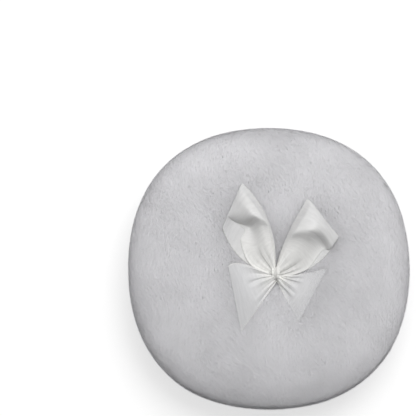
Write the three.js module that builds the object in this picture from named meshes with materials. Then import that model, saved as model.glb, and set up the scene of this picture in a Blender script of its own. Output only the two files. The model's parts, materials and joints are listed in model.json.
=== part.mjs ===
// Powder puff: a round plush cushion with a satin ribbon bow sewn to the middle of its top.
// Millimetres, +Z up. The origin is the middle of the face that the puff rests on.
// +Y points from the knot of the bow towards its loops, and +X to the right of them.

import * as THREE from 'three';

// Outline and height of the cushion, over the pile
const puffRadius = 60;
const cornerSwellShare = 0.02;
const topRise = 19;
const bottomRise = 19.5;
const restCut = 0.5;
const sidePower = 3.3;
const crownPower = 2.2;

// Plush: a knitted cloth with its pile, turned in and sewn at the rim
const pileHeight = 6;
const clothThickness = 1.2;
const seamAllowance = 4;
const seamDraw = 1.6;
const seamRoll = 3;
const seamThreadRadius = 0.3;

// Filling
const foamThickness = 8;
const foamMargin = 9;
const foamEdge = 1.5;

// Clearances between pieces that touch, and between the ribbon and the pile that it lies on
const sewnGap = 0.3;
const pileClearance = 0.5;

// Where the bow is sewn down, and the dimple that its stitch draws into the pile
const bowPlace = new THREE.Vector2(2.4, -1.8);
const dimpleDepth = 3.6;
const dimpleReach = 11;

// Satin ribbon
const ribbonWidth = 20;
const ribbonThickness = 0.5;

// Gather: the pinched middle of the ribbon, and the thread wound round it
const gatherLength = 3.2;
const gatherFlareWidth = 5.2;
const gatherFlareHeight = 4.4;
const gatherWaistWidth = 3.8;
const gatherWaistHeight = 3;
const gatherPleats = 8;
const gatherPleatShare = 0.08;
const bindingRadius = 0.2;
const bindingPitch = 0.85;
const bindingTurns = 3;

// Stitch that holds the bow down, with its knot under the cloth
const stitchRadius = 0.6;
const stitchKnotRadius = 1.6;
const stitchKnotHeight = 1.4;

// Loops of the bow: where the inner end of the fold lies, seen from the knot, and the fold from there
const leftLoop = { side: -1, tipReach: 38.2, tipAngle: 111, farReach: ribbonWidth, farAngle: 246 };
const rightLoop = { side: 1, tipReach: 32.1, tipAngle: 65.5, farReach: ribbonWidth, farAngle: -51.5 };
const loopHeight = 9.4;
const shoulderRise = 1.6;

// Tails of the bow: where the sharp inner end of the slanting cut lies, and the cut from there
const leftTail = { side: -1, tipReach: 29, tipAngle: 240.4, farReach: 27.1, farAngle: 100.9 };
const rightTail = { side: 1, tipReach: 23.8, tipAngle: -67, farReach: 26.2, farAngle: 61.8 };
const tailRootLift = 1.5;
const tailWave = 0.7;
const pleatDepth = 0.5;

// Roots of the ribbon's edges, seen from the knot. Those of the loops lie inside the gather, and a
// loop leaves them clear.
leftLoop.innerRoot = new THREE.Vector2(-0.1, 1.6);
leftLoop.outerRoot = new THREE.Vector2(-1.2, -1.6);
rightLoop.innerRoot = new THREE.Vector2(0.5, 1.6);
rightLoop.outerRoot = new THREE.Vector2(1.2, -2.4);
leftTail.innerRoot = new THREE.Vector2(0.2, -4.2);
leftTail.outerRoot = new THREE.Vector2(-2.4, -3.2);
rightTail.innerRoot = new THREE.Vector2(0.9, -4.7);
rightTail.outerRoot = new THREE.Vector2(3.3, -3.5);

// Bends of the ribbon's edges: how far along the way to the tip, and how far to its outer side
leftLoop.innerBendShares = [0.53, -0.22];
leftLoop.outerBendShares = [0.19, 0.39];
rightLoop.innerBendShares = [0.51, -0.08];
rightLoop.outerBendShares = [0.15, 0.515];
leftTail.innerBendShares = [0.555, -0.05];
leftTail.outerBendShares = [0.12, 0.57];
rightTail.innerBendShares = [0.6, -0.015];
rightTail.outerBendShares = [0.3, 0.42];

// Lip of a loop's hood: how far out it runs at the inner edge, and how it leans, arches and waves
// towards the outer one. The upper layer is tucked in below it, beside the layer underneath.
leftLoop.hoodShares = { lip: 0.46, lean: 0.62, arch: 0, wave: 0.06, waveWidth: 0.6, tuck: 0.47 };
rightLoop.hoodShares = { lip: 0.45, lean: 0.33, arch: 0.15, wave: 0, waveWidth: 1, tuck: 0.12 };
const lipLimitShare = 0.975;

// A loop seen from its side: share of the way to the fold, and share of the loop's height. It
// leaves the gather, dips, buckles up into a hood, folds over and comes back below.
const loopLineShares = [
  [0.12, 0.4], [0.22, 0.42], [0.38, 0.38], [0.5, 0.25], [0.56, 0.34], [0.585, 0.72], [0.66, 1],
  [0.88, 0.86], [1, 0.45], [0.93, 0.1], [0.7, 0.03], [0.4, 0.03], [0.2, 0.06], [0.12, 0.1],
];
const loopEdgeShare = 0.35;
const lipTurnShare = 0.57;
const drawShares = [0.12, 0.45];
const tuckShares = [0.3, 0.56];
const untuckShares = [0.4, 0.56];
const frontPlaceShare = 0.22;
const frontReachShare = 0.26;
const edgeDropShare = 0.5;
const edgeDropFromShare = 0.72;
const shoulderPlaceShare = 0.58;
const shoulderReachShare = 0.2;
const pleatFadeShare = 0.5;
const tailFadeShare = 0.45;

// How finely curves are cut into faces
const outlineSteps = 40;
const sideSteps = 5;
const topSteps = 6;
const liningSideSteps = 3;
const liningTopSteps = 4;
const sideTurn = Math.PI / 3;
const ringSides = 6;
const settleSteps = 8;
const loopSteps = 28;
const tailSteps = 9;
const ribbonColumns = 12;
const ribbonPleats = 3;
const gatherSteps = 10;
const gatherSides = 32;
const bindingSteps = 24;
const stitchSides = 12;
const slopeStep = 1e-3;

const wall = pileHeight + clothThickness;
const seamHeight = bottomRise - restCut;
const fullTurn = 2 * Math.PI;

const plush = new THREE.MeshStandardMaterial({ color: 0xdddce1, roughness: 1, metalness: 0 });
const satin = new THREE.MeshStandardMaterial({ color: 0xe8e7e6, roughness: 0.38, metalness: 0 });
const thread = new THREE.MeshStandardMaterial({ color: 0xf0efec, roughness: 0.6, metalness: 0 });
const wadding = new THREE.MeshStandardMaterial({ color: 0xf4f4f2, roughness: 1, metalness: 0 });
const foam = new THREE.MeshStandardMaterial({ color: 0xf1ecdc, roughness: 0.95, metalness: 0 });

// Cushion

function outlineRadius(angle) {
  return puffRadius * (1 - cornerSwellShare * Math.cos(4 * angle));
}

// Distance from the bow's place to the outline, along a direction in plan
function reachTowards(arm) {
  const direction = arm.clone().normalize();
  let reach = puffRadius;
  for (let step = 0; step < settleSteps; step += 1) {
    const edge = bowPlace.clone().addScaledVector(direction, reach);
    reach += outlineRadius(edge.angle()) - edge.length();
  }
  return reach;
}

// Rise of a cushion's surface from its seam: straight up the rolled edge, then over the crown
function crownRise(share, rise) {
  return seamRoll + (rise - seamRoll) * (1 - share ** sidePower) ** (1 / crownPower);
}

function dimple(distance) {
  return dimpleDepth * Math.exp(-((distance / dimpleReach) ** 2));
}

// Height of the pile's tips over a point in plan
function pileTop(point) {
  const arm = point.clone().sub(bowPlace);
  const share = arm.length() / reachTowards(arm);
  return seamHeight + crownRise(share, topRise) - dimple(arm.length());
}

// Rings of a cushion's section from its rim inwards: closer on the rounded side than on the crown
function ringShares(side, top) {
  const turns = Array.from({ length: side + 1 }, (_, step) => (sideTurn * step) / side);
  const rim = turns.map((turn) => Math.cos(turn) ** (2 / sidePower));
  const inmost = rim[side];
  const middle = Array.from({ length: top - 1 }, (_, step) => inmost * (1 - (step + 1) / top));
  return [...rim, ...middle];
}

// One side of a cushion's section, from the rim inwards. Each point has its share of the way from
// the bow's place to the outline less the inset, and its rise from the seam.
function crownLine({ shares, inset, rise, dimpled }) {
  return shares.map((share) => ({ share, inset, rise: crownRise(share, rise), dimpled }));
}

function underside(section) {
  return section.map((point) => ({ ...point, rise: -point.rise }));
}

// A point of a section, carried round the outline. Nothing reaches below the face it rests on.
function ringPoint({ share, inset = 0, bore = 0, rise, dimpled = 0 }, angle) {
  const edge = new THREE.Vector2(Math.cos(angle), Math.sin(angle)).multiplyScalar(outlineRadius(angle));
  const arm = edge.sub(bowPlace);
  const distance = bore + (arm.length() - inset - bore) * share;
  const place = arm.setLength(distance).add(bowPlace);
  const height = seamHeight + rise - dimpled * dimple(distance);
  return new THREE.Vector3(place.x, place.y, Math.max(height, 0));
}

// Bodies

// Turns every face of a closed body outwards
function closedBody(points, faces) {
  const volume = faces.reduce((sum, [a, b, c]) => (
    sum + points[a].dot(new THREE.Vector3().crossVectors(points[b], points[c]))
  ), 0);
  const index = faces.flatMap(([a, b, c]) => (volume > 0 ? [a, b, c] : [a, c, b]));
  const body = new THREE.BufferGeometry();
  body.setFromPoints(points);
  body.setIndex(index);
  body.computeVertexNormals();
  return body;
}

function quad(a, b, c, d) {
  return [[a, b, c], [a, c, d]];
}

// A body whose section is carried round the outline. A hollow section closes on itself;
// another one starts and ends on the axis through the bow's place.
function roundBody(section, { hollow = false } = {}) {
  const rings = hollow ? section : section.slice(1, -1);
  const points = rings.flatMap((ring) => Array.from({ length: outlineSteps }, (_, step) => (
    ringPoint(ring, (fullTurn * step) / outlineSteps)
  )));
  const at = (ring, step) => (ring % rings.length) * outlineSteps + (step % outlineSteps);
  const faces = [];
  const spans = hollow ? rings.length : rings.length - 1;
  for (let ring = 0; ring < spans; ring += 1) {
    for (let step = 0; step < outlineSteps; step += 1) {
      faces.push(...quad(at(ring, step), at(ring, step + 1), at(ring + 1, step + 1), at(ring + 1, step)));
    }
  }
  if (!hollow) {
    const first = points.push(ringPoint({ ...section[0], share: 0 }, 0)) - 1;
    const last = points.push(ringPoint({ ...section.at(-1), share: 0 }, 0)) - 1;
    for (let step = 0; step < outlineSteps; step += 1) {
      faces.push([first, at(0, step + 1), at(0, step)]);
      faces.push([last, at(rings.length - 1, step), at(rings.length - 1, step + 1)]);
    }
  }
  return closedBody(points, faces);
}

// A thin body between a front and a back grid of points, closed round its rim
function sheetBody(front, back) {
  const rows = front.length;
  const columns = front[0].length;
  const points = [...front.flat(), ...back.flat()];
  const near = (row, column) => row * columns + column;
  const far = (row, column) => rows * columns + near(row, column);
  const faces = [];
  for (let row = 0; row < rows - 1; row += 1) {
    for (let column = 0; column < columns - 1; column += 1) {
      const [right, down] = [column + 1, row + 1];
      faces.push(...quad(near(row, column), near(down, column), near(down, right), near(row, right)));
      faces.push(...quad(far(row, column), far(row, right), far(down, right), far(down, column)));
    }
    for (const [column, turned] of [[0, false], [columns - 1, true]]) {
      const rim = [near(row, column), far(row, column), far(row + 1, column), near(row + 1, column)];
      faces.push(...quad(...(turned ? rim.reverse() : rim)));
    }
  }
  for (let column = 0; column < columns - 1; column += 1) {
    for (const [row, turned] of [[0, true], [rows - 1, false]]) {
      const rim = [near(row, column), far(row, column), far(row, column + 1), near(row, column + 1)];
      faces.push(...quad(...(turned ? rim.reverse() : rim)));
    }
  }
  return closedBody(points, faces);
}

// A body through rings of as many points each, with a flat fan at either end
function loftBody(rings) {
  const sides = rings[0].length;
  const points = rings.flat();
  const at = (ring, side) => ring * sides + (side % sides);
  const faces = [];
  for (let ring = 0; ring < rings.length - 1; ring += 1) {
    for (let side = 0; side < sides; side += 1) {
      faces.push(...quad(at(ring, side), at(ring, side + 1), at(ring + 1, side + 1), at(ring + 1, side)));
    }
  }
  for (const [ring, turned] of [[0, true], [rings.length - 1, false]]) {
    const middle = rings[ring].reduce((sum, point) => sum.add(point), new THREE.Vector3());
    const centre = points.push(middle.divideScalar(sides)) - 1;
    for (let side = 0; side < sides; side += 1) {
      const edge = [at(ring, side), at(ring, side + 1)];
      faces.push([centre, ...(turned ? edge.reverse() : edge)]);
    }
  }
  return closedBody(points, faces);
}

// Covers

// The turned-in edge at the seam, with the channel that the seam thread runs in
function seamEdge() {
  const channel = seamThreadRadius + sewnGap;
  const middle = wall + seamAllowance / 2;
  const face = sewnGap / 2;
  return [
    { share: 1, inset: wall + seamAllowance, rise: face + clothThickness },
    { share: 1, inset: wall + seamAllowance, rise: face },
    { share: 1, inset: middle + channel, rise: face },
    { share: 1, inset: middle, rise: face + channel },
    { share: 1, inset: middle - channel, rise: face },
  ];
}

function coverSection(rise, dimpled) {
  const drawn = [
    { share: 1, inset: seamDraw, rise: sewnGap / 2 },
    { share: 1, inset: seamDraw / 4, rise: seamRoll / 2 },
  ];
  const outer = crownLine({ shares: ringShares(sideSteps, topSteps), inset: 0, rise, dimpled });
  const lining = crownLine({
    shares: ringShares(liningSideSteps, liningTopSteps), inset: wall, rise: rise - wall, dimpled,
  });
  const turnedIn = { share: 1, inset: wall, rise: sewnGap / 2 + clothThickness };
  return { outer: [...drawn, ...outer], inward: [...lining.reverse(), turnedIn, ...seamEdge()] };
}

function topCover() {
  const { outer, inward } = coverSection(topRise, 1);
  const bore = stitchRadius + sewnGap;
  const hole = [
    { share: 0, bore, rise: topRise, dimpled: 1 },
    { share: 0, bore, rise: topRise - wall, dimpled: 1 },
  ];
  return roundBody([...outer, ...hole, ...inward], { hollow: true });
}

function bottomCover() {
  const { outer, inward } = coverSection(bottomRise, 0);
  const rim = [...inward, ...outer];
  const section = [{ share: 0, rise: bottomRise - wall }, ...rim, { share: 0, rise: bottomRise }];
  return roundBody(underside(section));
}

function seamThread() {
  const middle = wall + seamAllowance / 2;
  const section = Array.from({ length: ringSides }, (_, side) => {
    const turn = (fullTurn * side) / ringSides;
    const inset = middle + seamThreadRadius * Math.cos(turn);
    return { share: 1, inset, rise: seamThreadRadius * Math.sin(turn) };
  });
  return roundBody(section, { hollow: true });
}

// Filling

// A fibre layer between the foam and a cover. It laps the foam's edge and clears the seam.
function waddingSection(rise, dimpled) {
  const foamFace = foamThickness / 2 + sewnGap;
  const foamSide = wall + foamMargin - sewnGap;
  const seamSide = wall + seamAllowance + sewnGap;
  const seamTop = sewnGap / 2 + clothThickness + sewnGap;
  const meeting = sewnGap / 2;
  const outer = crownLine({
    shares: ringShares(liningSideSteps, liningTopSteps),
    inset: wall + sewnGap,
    rise: rise - wall - sewnGap,
    dimpled,
  });
  return [
    { share: 0, rise: foamFace },
    { share: 1, inset: foamSide, rise: foamFace },
    { share: 1, inset: foamSide, rise: meeting },
    { share: 1, inset: seamSide, rise: meeting },
    { share: 1, inset: seamSide, rise: seamTop },
    { share: 1, inset: wall + sewnGap, rise: seamTop },
    ...outer,
  ];
}

function topWadding() {
  const bore = stitchKnotRadius + sewnGap;
  const face = topRise - wall - sewnGap;
  const floor = face - dimpleDepth - stitchKnotHeight - sewnGap;
  const pit = [
    { share: 0, bore, rise: face, dimpled: 1 },
    { share: 0, bore, rise: floor },
    { share: 0, rise: floor },
  ];
  return roundBody([...waddingSection(topRise, 1), ...pit]);
}

function bottomWadding() {
  const face = bottomRise - wall - sewnGap;
  return roundBody(underside([...waddingSection(bottomRise, 0), { share: 0, rise: face }]));
}

function foamCore() {
  const half = foamThickness / 2;
  const inset = wall + foamMargin;
  const upper = [
    { share: 0, rise: half },
    { share: 1, inset: inset + foamEdge, rise: half },
    { share: 1, inset, rise: half - foamEdge },
  ];
  return roundBody([...upper, ...underside(upper).reverse()]);
}

// Bow

// Half the gather's width or height, from its waist to its flared ends
function flared(waist, flare, x) {
  return (waist + (flare - waist) * ((2 * x) / gatherLength) ** 2) / 2;
}

// The gather is as low as its outermost turns of thread can lie on the pile
const bindingHalfSpan = (bindingPitch * bindingTurns) / 2;
const outermostTurn = bowPlace.clone().add(new THREE.Vector2(bindingHalfSpan, 0));
const gatherHeight = pileTop(outermostTurn) + pileClearance + sewnGap + 2 * bindingRadius
  + flared(gatherWaistHeight, gatherFlareHeight, bindingHalfSpan);

function polar(reach, degrees) {
  const angle = THREE.MathUtils.degToRad(degrees);
  return new THREE.Vector2(Math.cos(angle), Math.sin(angle)).multiplyScalar(reach);
}

// Edges of a ribbon in plan, from the knot: the inner one to its tip, and the outer one to the
// corner across the fold or the cut. Bends are shares of the tip's reach, along it and outwards.
function ribbonEdges(ribbon) {
  const tip = polar(ribbon.tipReach, ribbon.tipAngle);
  const corner = tip.clone().add(polar(ribbon.farReach, ribbon.farAngle));
  const outward = polar(ribbon.tipReach, ribbon.tipAngle - ribbon.side * Math.sign(tip.y) * 90);
  const bend = ([along, out]) => tip.clone().multiplyScalar(along).addScaledVector(outward, out);
  const { innerRoot, innerBendShares, outerRoot, outerBendShares } = ribbon;
  return {
    inner: new THREE.QuadraticBezierCurve(innerRoot, bend(innerBendShares), tip),
    outer: new THREE.QuadraticBezierCurve(outerRoot, bend(outerBendShares), corner),
  };
}

// A place on the ribbon in plan: share of the way from the knot, and share from inner to outer edge
function onRibbon(edges, along, across) {
  return edges.inner.getPoint(along).lerp(edges.outer.getPoint(along), across).add(bowPlace);
}

// A smooth rise and fall round one place
function swell(at, place, reach) {
  return Math.exp(-(((at - place) / reach) ** 2));
}

// Pleats run out of the gather and die away along the ribbon
function pleat(along, across) {
  const fade = Math.max(1 - along / pleatFadeShare, 0);
  return pleatDepth * fade * Math.cos(fullTurn * ribbonPleats * across);
}

// A ribbon's body from the surface through its middle, with its pleats raised square to it
function ribbonBody(surface, steps, alongAt) {
  const normalAt = (turn, across) => {
    const start = surface(turn, across);
    const ahead = turn < 1 / 2 ? slopeStep : -slopeStep;
    const aside = across < 1 / 2 ? slopeStep : -slopeStep;
    const forward = surface(turn + ahead, across).sub(start).divideScalar(ahead);
    const sideways = surface(turn, across + aside).sub(start).divideScalar(aside);
    return forward.cross(sideways).normalize();
  };
  const grid = (offset) => Array.from({ length: steps + 1 }, (_, step) => (
    Array.from({ length: ribbonColumns + 1 }, (__, column) => {
      const [turn, across] = [step / steps, column / ribbonColumns];
      const height = pleat(alongAt(turn), across) + offset;
      return surface(turn, across).addScaledVector(normalAt(turn, across), height);
    })
  ));
  return sheetBody(grid(ribbonThickness / 2), grid(-ribbonThickness / 2));
}

const loopLine = new THREE.SplineCurve(loopLineShares.map(([along, up]) => new THREE.Vector2(along, up)));

// How far out the hood's lip runs, at a share of the way across the ribbon
function lipAt({ lip, lean, arch, wave, waveWidth }, across) {
  const line = lip + lean * across + arch * Math.sin(Math.PI * across);
  return Math.min(line + wave * Math.sin((fullTurn * across) / waveWidth), lipLimitShare);
}

// How far out a point of the loop's line is drawn, so that its hood ends at the lip
function drawnOut(line, lip) {
  if (line > lipTurnShare) {
    return 1 - ((1 - line) * (1 - lip)) / (1 - lipTurnShare);
  }
  return line * (1 + (lip / lipTurnShare - 1) * THREE.MathUtils.smoothstep(line, ...drawShares));
}

// A loop: one length of ribbon out to the fold and back, its upper layer buckled into a hood that
// is narrower than the layer below
function loopBody(loop) {
  const edges = ribbonEdges(loop);
  const { smoothstep } = THREE.MathUtils;
  const surface = (turn, across) => {
    const { x: line, y: up } = loopLine.getPoint(turn);
    const upper = Math.min(up / loopEdgeShare, 1);
    const tucked = upper * smoothstep(line, ...tuckShares) * (1 - smoothstep(turn, ...untuckShares));
    const shown = across * (1 - loop.hoodShares.tuck * tucked);
    const drawn = drawnOut(line, lipAt(loop.hoodShares, shown));
    const place = onRibbon(edges, line + upper * (drawn - line), shown);
    const front = upper * swell(line, frontPlaceShare, frontReachShare);
    const crown = Math.max(up - loopEdgeShare, 0) * Math.sin(Math.PI * across);
    const drop = edgeDropShare * front * smoothstep(across, edgeDropFromShare, 1);
    const shoulder = shoulderRise * front * swell(across, shoulderPlaceShare, shoulderReachShare);
    const rise = loopHeight * (Math.min(up, loopEdgeShare) + crown) * (1 - drop) + shoulder;
    return new THREE.Vector3(place.x, place.y, pileTop(place) + pileClearance + ribbonThickness / 2 + rise);
  };
  return ribbonBody(surface, loopSteps, (turn) => loopLine.getPoint(turn).x);
}

// A tail: one layer of ribbon that lies on the pile up to its slanting cut
function tailBody(tail) {
  const edges = ribbonEdges(tail);
  const surface = (along, across) => {
    const place = onRibbon(edges, along, across);
    const lift = tailRootLift * Math.exp(-((along / tailFadeShare) ** 2));
    const wave = tailWave * Math.sin(Math.PI * along) * Math.sin(Math.PI * across);
    const seat = pileTop(place) + pileClearance + ribbonThickness / 2;
    return new THREE.Vector3(place.x, place.y, seat + lift + wave);
  };
  return ribbonBody(surface, tailSteps, (along) => along);
}

function gatherBody() {
  const rings = Array.from({ length: gatherSteps + 1 }, (_, step) => {
    const x = gatherLength * (step / gatherSteps - 1 / 2);
    const halfWidth = flared(gatherWaistWidth, gatherFlareWidth, x);
    const halfHeight = flared(gatherWaistHeight, gatherFlareHeight, x);
    return Array.from({ length: gatherSides }, (__, side) => {
      const turn = (fullTurn * side) / gatherSides;
      const fold = 1 - gatherPleatShare * (1 - Math.cos(gatherPleats * turn));
      const y = bowPlace.y + halfWidth * fold * Math.cos(turn);
      return new THREE.Vector3(bowPlace.x + x, y, gatherHeight + halfHeight * fold * Math.sin(turn));
    });
  });
  return loftBody(rings);
}

// The thread's middle line round the gather's waist, one unbroken helix along X
function bindingPoint(turns) {
  const angle = fullTurn * turns - Math.PI / 2;
  const out = sewnGap + bindingRadius;
  const x = bindingPitch * turns - bindingHalfSpan;
  const halfWidth = flared(gatherWaistWidth, gatherFlareWidth, x) + out;
  const halfHeight = flared(gatherWaistHeight, gatherFlareHeight, x) + out;
  const y = bowPlace.y + halfWidth * Math.cos(angle);
  return new THREE.Vector3(bowPlace.x + x, y, gatherHeight + halfHeight * Math.sin(angle));
}

function bindingBody() {
  const steps = bindingTurns * bindingSteps;
  const line = Array.from({ length: steps + 1 }, (_, step) => bindingPoint(step / bindingSteps));
  const rings = line.map((point, step) => {
    const before = line[Math.max(step - 1, 0)];
    const after = line[Math.min(step + 1, steps)];
    const forward = after.clone().sub(before).normalize();
    const axis = new THREE.Vector3(1, 0, 0).projectOnPlane(forward).normalize();
    const out = new THREE.Vector3().crossVectors(forward, axis);
    return Array.from({ length: ringSides }, (__, side) => {
      const turn = (fullTurn * side) / ringSides;
      return point.clone()
        .addScaledVector(axis, bindingRadius * Math.cos(turn))
        .addScaledVector(out, bindingRadius * Math.sin(turn));
    });
  });
  let least = Infinity;
  for (let step = 0; step <= steps; step += 1) {
    for (let other = step + bindingSteps / 2; other <= steps; other += 1) {
      least = Math.min(least, line[step].distanceTo(line[other]) - 2 * bindingRadius);
    }
  }
  console.log(`binding thread: least gap to itself ${least.toFixed(2)} mm`);
  return loftBody(rings);
}

// The stitch: a stem through the top cover, and a knot under the cloth
function stitchBody() {
  const top = pileTop(bowPlace);
  const cloth = top - wall - sewnGap;
  const section = [
    new THREE.Vector2(0, cloth - stitchKnotHeight),
    new THREE.Vector2(stitchKnotRadius / 2, cloth - stitchKnotHeight),
    new THREE.Vector2(stitchKnotRadius, cloth - stitchKnotHeight / 2),
    new THREE.Vector2(stitchKnotRadius / 2, cloth),
    new THREE.Vector2(stitchRadius, cloth + sewnGap),
    new THREE.Vector2(stitchRadius, top - stitchRadius / 2),
    new THREE.Vector2(stitchRadius / 2, top),
    new THREE.Vector2(0, top),
  ];
  const stitch = new THREE.LatheGeometry(section, stitchSides);
  return stitch.rotateX(Math.PI / 2).translate(bowPlace.x, bowPlace.y, 0);
}

// Assembly

function piece(name, body, material) {
  const mesh = new THREE.Mesh(body, material);
  mesh.name = name;
  return mesh;
}

const cushion = new THREE.Group().add(
  piece('top_plush_cover', topCover(), plush),
  piece('bottom_plush_cover', bottomCover(), plush),
  piece('rim_seam_thread', seamThread(), thread),
  piece('top_wadding', topWadding(), wadding),
  piece('bottom_wadding', bottomWadding(), wadding),
  piece('foam_core', foamCore(), foam),
);

const bow = new THREE.Group().add(
  piece('bow_gather', gatherBody(), satin),
  piece('bow_binding_thread', bindingBody(), thread),
  piece('bow_stitch_thread', stitchBody(), thread),
  piece('left_loop', loopBody(leftLoop), satin),
  piece('right_loop', loopBody(rightLoop), satin),
  piece('left_tail', tailBody(leftTail), satin),
  piece('right_tail', tailBody(rightTail), satin),
);

const powderPuff = new THREE.Group().add(cushion, bow);

export default powderPuff;
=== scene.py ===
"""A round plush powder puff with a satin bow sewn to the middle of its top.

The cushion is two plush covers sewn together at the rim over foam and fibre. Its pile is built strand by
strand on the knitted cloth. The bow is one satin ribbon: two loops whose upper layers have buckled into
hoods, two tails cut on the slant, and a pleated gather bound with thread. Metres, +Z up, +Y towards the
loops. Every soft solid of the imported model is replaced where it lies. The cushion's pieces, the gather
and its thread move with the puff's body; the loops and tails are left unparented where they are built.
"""

from __future__ import annotations

import json
import logging
import math
from dataclasses import dataclass, field
from enum import Enum

import bpy
import numpy as np
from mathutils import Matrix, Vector

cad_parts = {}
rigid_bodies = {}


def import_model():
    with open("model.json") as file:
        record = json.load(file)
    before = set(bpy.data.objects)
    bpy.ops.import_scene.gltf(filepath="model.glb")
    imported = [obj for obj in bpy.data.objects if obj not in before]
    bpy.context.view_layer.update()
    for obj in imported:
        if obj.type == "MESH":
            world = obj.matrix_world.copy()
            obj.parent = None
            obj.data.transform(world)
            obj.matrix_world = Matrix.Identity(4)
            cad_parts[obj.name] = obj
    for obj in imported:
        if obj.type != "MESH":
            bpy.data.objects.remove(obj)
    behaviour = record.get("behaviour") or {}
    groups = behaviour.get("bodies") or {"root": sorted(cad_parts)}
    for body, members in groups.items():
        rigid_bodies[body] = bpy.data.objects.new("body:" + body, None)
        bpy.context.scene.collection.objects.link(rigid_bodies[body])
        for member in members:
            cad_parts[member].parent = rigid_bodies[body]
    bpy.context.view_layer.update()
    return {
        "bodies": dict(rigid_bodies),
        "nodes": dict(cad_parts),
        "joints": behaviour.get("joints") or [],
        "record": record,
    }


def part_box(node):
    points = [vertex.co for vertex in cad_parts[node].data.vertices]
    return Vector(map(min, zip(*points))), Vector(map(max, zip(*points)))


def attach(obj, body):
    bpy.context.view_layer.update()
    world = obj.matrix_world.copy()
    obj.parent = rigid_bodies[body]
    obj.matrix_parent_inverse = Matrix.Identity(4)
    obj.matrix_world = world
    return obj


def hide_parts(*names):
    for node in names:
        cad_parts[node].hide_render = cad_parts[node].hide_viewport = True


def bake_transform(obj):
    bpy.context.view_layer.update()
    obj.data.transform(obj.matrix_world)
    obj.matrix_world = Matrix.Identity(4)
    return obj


MM = 0.001
TINY = 1e-12
LOG = logging.getLogger("powder_puff")
FRAME: dict = {}

Rows = np.ndarray
Piece = bpy.types.Object
Socket = bpy.types.NodeSocket
Source = float | tuple[float, ...] | Socket


class Side(Enum):
    """Which side of the knot a loop or tail lies on."""

    LEFT = -1
    RIGHT = 1


# Vectors and curves


def unit(rows: Rows) -> Rows:
    """Vectors of length one.

    Args:
        rows: Vectors, along the last axis.

    Returns:
        The same directions.
    """
    return rows / np.maximum(np.linalg.norm(rows, axis=-1, keepdims=True), TINY)


def polar(reach: float, degrees: float) -> Rows:
    """A vector in plan of that reach and direction."""
    angle = math.radians(degrees)
    return reach * np.array([math.cos(angle), math.sin(angle)])


def mixed(low: Rows, high: Rows, share: Rows) -> Rows:
    """Points that share of the way from low to high."""
    return low + (high - low) * share[..., None]


def swell(at: Rows, place: float, reach: float) -> Rows:
    """A smooth rise to one and fall again round a place."""
    return np.exp(-(((at - place) / reach) ** 2))


def ramp(at: Rows, low: float, high: float) -> Rows:
    """A smooth step from nought at low to one at high."""
    share = np.clip((at - low) / (high - low), 0, 1)
    return share * share * (3 - 2 * share)


def catmull_rom(knots: Rows, turns: Rows) -> Rows:
    """Points of a smooth curve through knots.

    Args:
        knots: The points that it goes through, one a row.
        turns: Shares of the way through them, from 0 to 1.

    Returns:
        One point for each turn.
    """
    last = len(knots) - 1
    place = np.clip(turns, 0, 1) * last
    start = np.minimum(place.astype(int), last - 1)
    t = (place - start)[..., None]
    before, here = knots[np.maximum(start - 1, 0)], knots[start]
    after, beyond = knots[start + 1], knots[np.minimum(start + 2, last)]
    slope, far_slope = (after - before) / 2, (beyond - here) / 2
    cubic = 2 * here - 2 * after + slope + far_slope
    square = 3 * after - 3 * here - 2 * slope - far_slope
    return ((cubic * t + square) * t + slope) * t + here


def bezier(root: Rows, bend: Rows, end: Rows, along: Rows) -> Rows:
    """Points of a curve with one bend."""
    t = along[..., None]
    return (1 - t) ** 2 * root + 2 * t * (1 - t) * bend + t * t * end


@dataclass(frozen=True)
class Drift:
    """A smooth field without pattern: waves in directions and phases of their own."""

    wavelength: float
    seed: int
    waves: int = 9
    stretches: tuple[float, float] = (0.7, 1.5)

    def at(self, points: Rows) -> Rows:
        """The field's value at each point.

        Args:
            points: Points, along the last axis.

        Returns:
            Values with a mean of nought and a spread of about one.
        """
        rng = np.random.default_rng(self.seed)
        heading = unit(rng.normal(size=(self.waves, 3)))
        stretch = rng.uniform(*self.stretches, self.waves)
        phase = rng.uniform(0, 2 * math.pi, self.waves)
        turns = points @ (heading * (2 * math.pi / self.wavelength) * stretch[:, None]).T
        return np.sin(turns + phase).sum(axis=-1) * math.sqrt(2 / self.waves)


# Meshes


def mesh_piece(
    name: str, points: Rows, faces: list[Rows], material: bpy.types.Material, smooth: bool = True
) -> Piece:
    """A mesh object.

    Args:
        name: The piece's name.
        points: Vertices, one a row.
        faces: Tables of vertex numbers, one face a row, each table with as many corners a face as it has.
        material: What it is made of.
        smooth: Whether its faces are shaded as one smooth surface.

    Returns:
        The object, linked to the scene.
    """
    corners = np.concatenate([np.full(len(table), table.shape[1]) for table in faces])
    order = np.concatenate([table.ravel() for table in faces])
    starts = np.concatenate([[0], np.cumsum(corners)[:-1]])
    mesh = bpy.data.meshes.new(name)
    mesh.vertices.add(len(points))
    mesh.vertices.foreach_set("co", np.ascontiguousarray(points, np.float32).ravel())
    mesh.loops.add(len(order))
    mesh.loops.foreach_set("vertex_index", order.astype(np.int32))
    mesh.polygons.add(len(corners))
    mesh.polygons.foreach_set("loop_start", starts.astype(np.int32))
    mesh.polygons.foreach_set("use_smooth", np.full(len(corners), smooth))
    mesh.update(calc_edges=True)
    mesh.materials.append(material)
    piece = bpy.data.objects.new(name, mesh)
    bpy.context.scene.collection.objects.link(piece)
    return piece


def mark(piece: Piece, name: str, values: Rows) -> None:
    """Gives each vertex of a piece a number or a vector that its material reads.

    Args:
        piece: The mesh object.
        name: The attribute's name.
        values: One number or one vector for each vertex.
    """
    flat = values.ndim == 1
    layer = piece.data.attributes.new(name, "FLOAT" if flat else "FLOAT_VECTOR", "POINT")
    layer.data.foreach_set("value" if flat else "vector", np.ascontiguousarray(values, np.float32).ravel())


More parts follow.
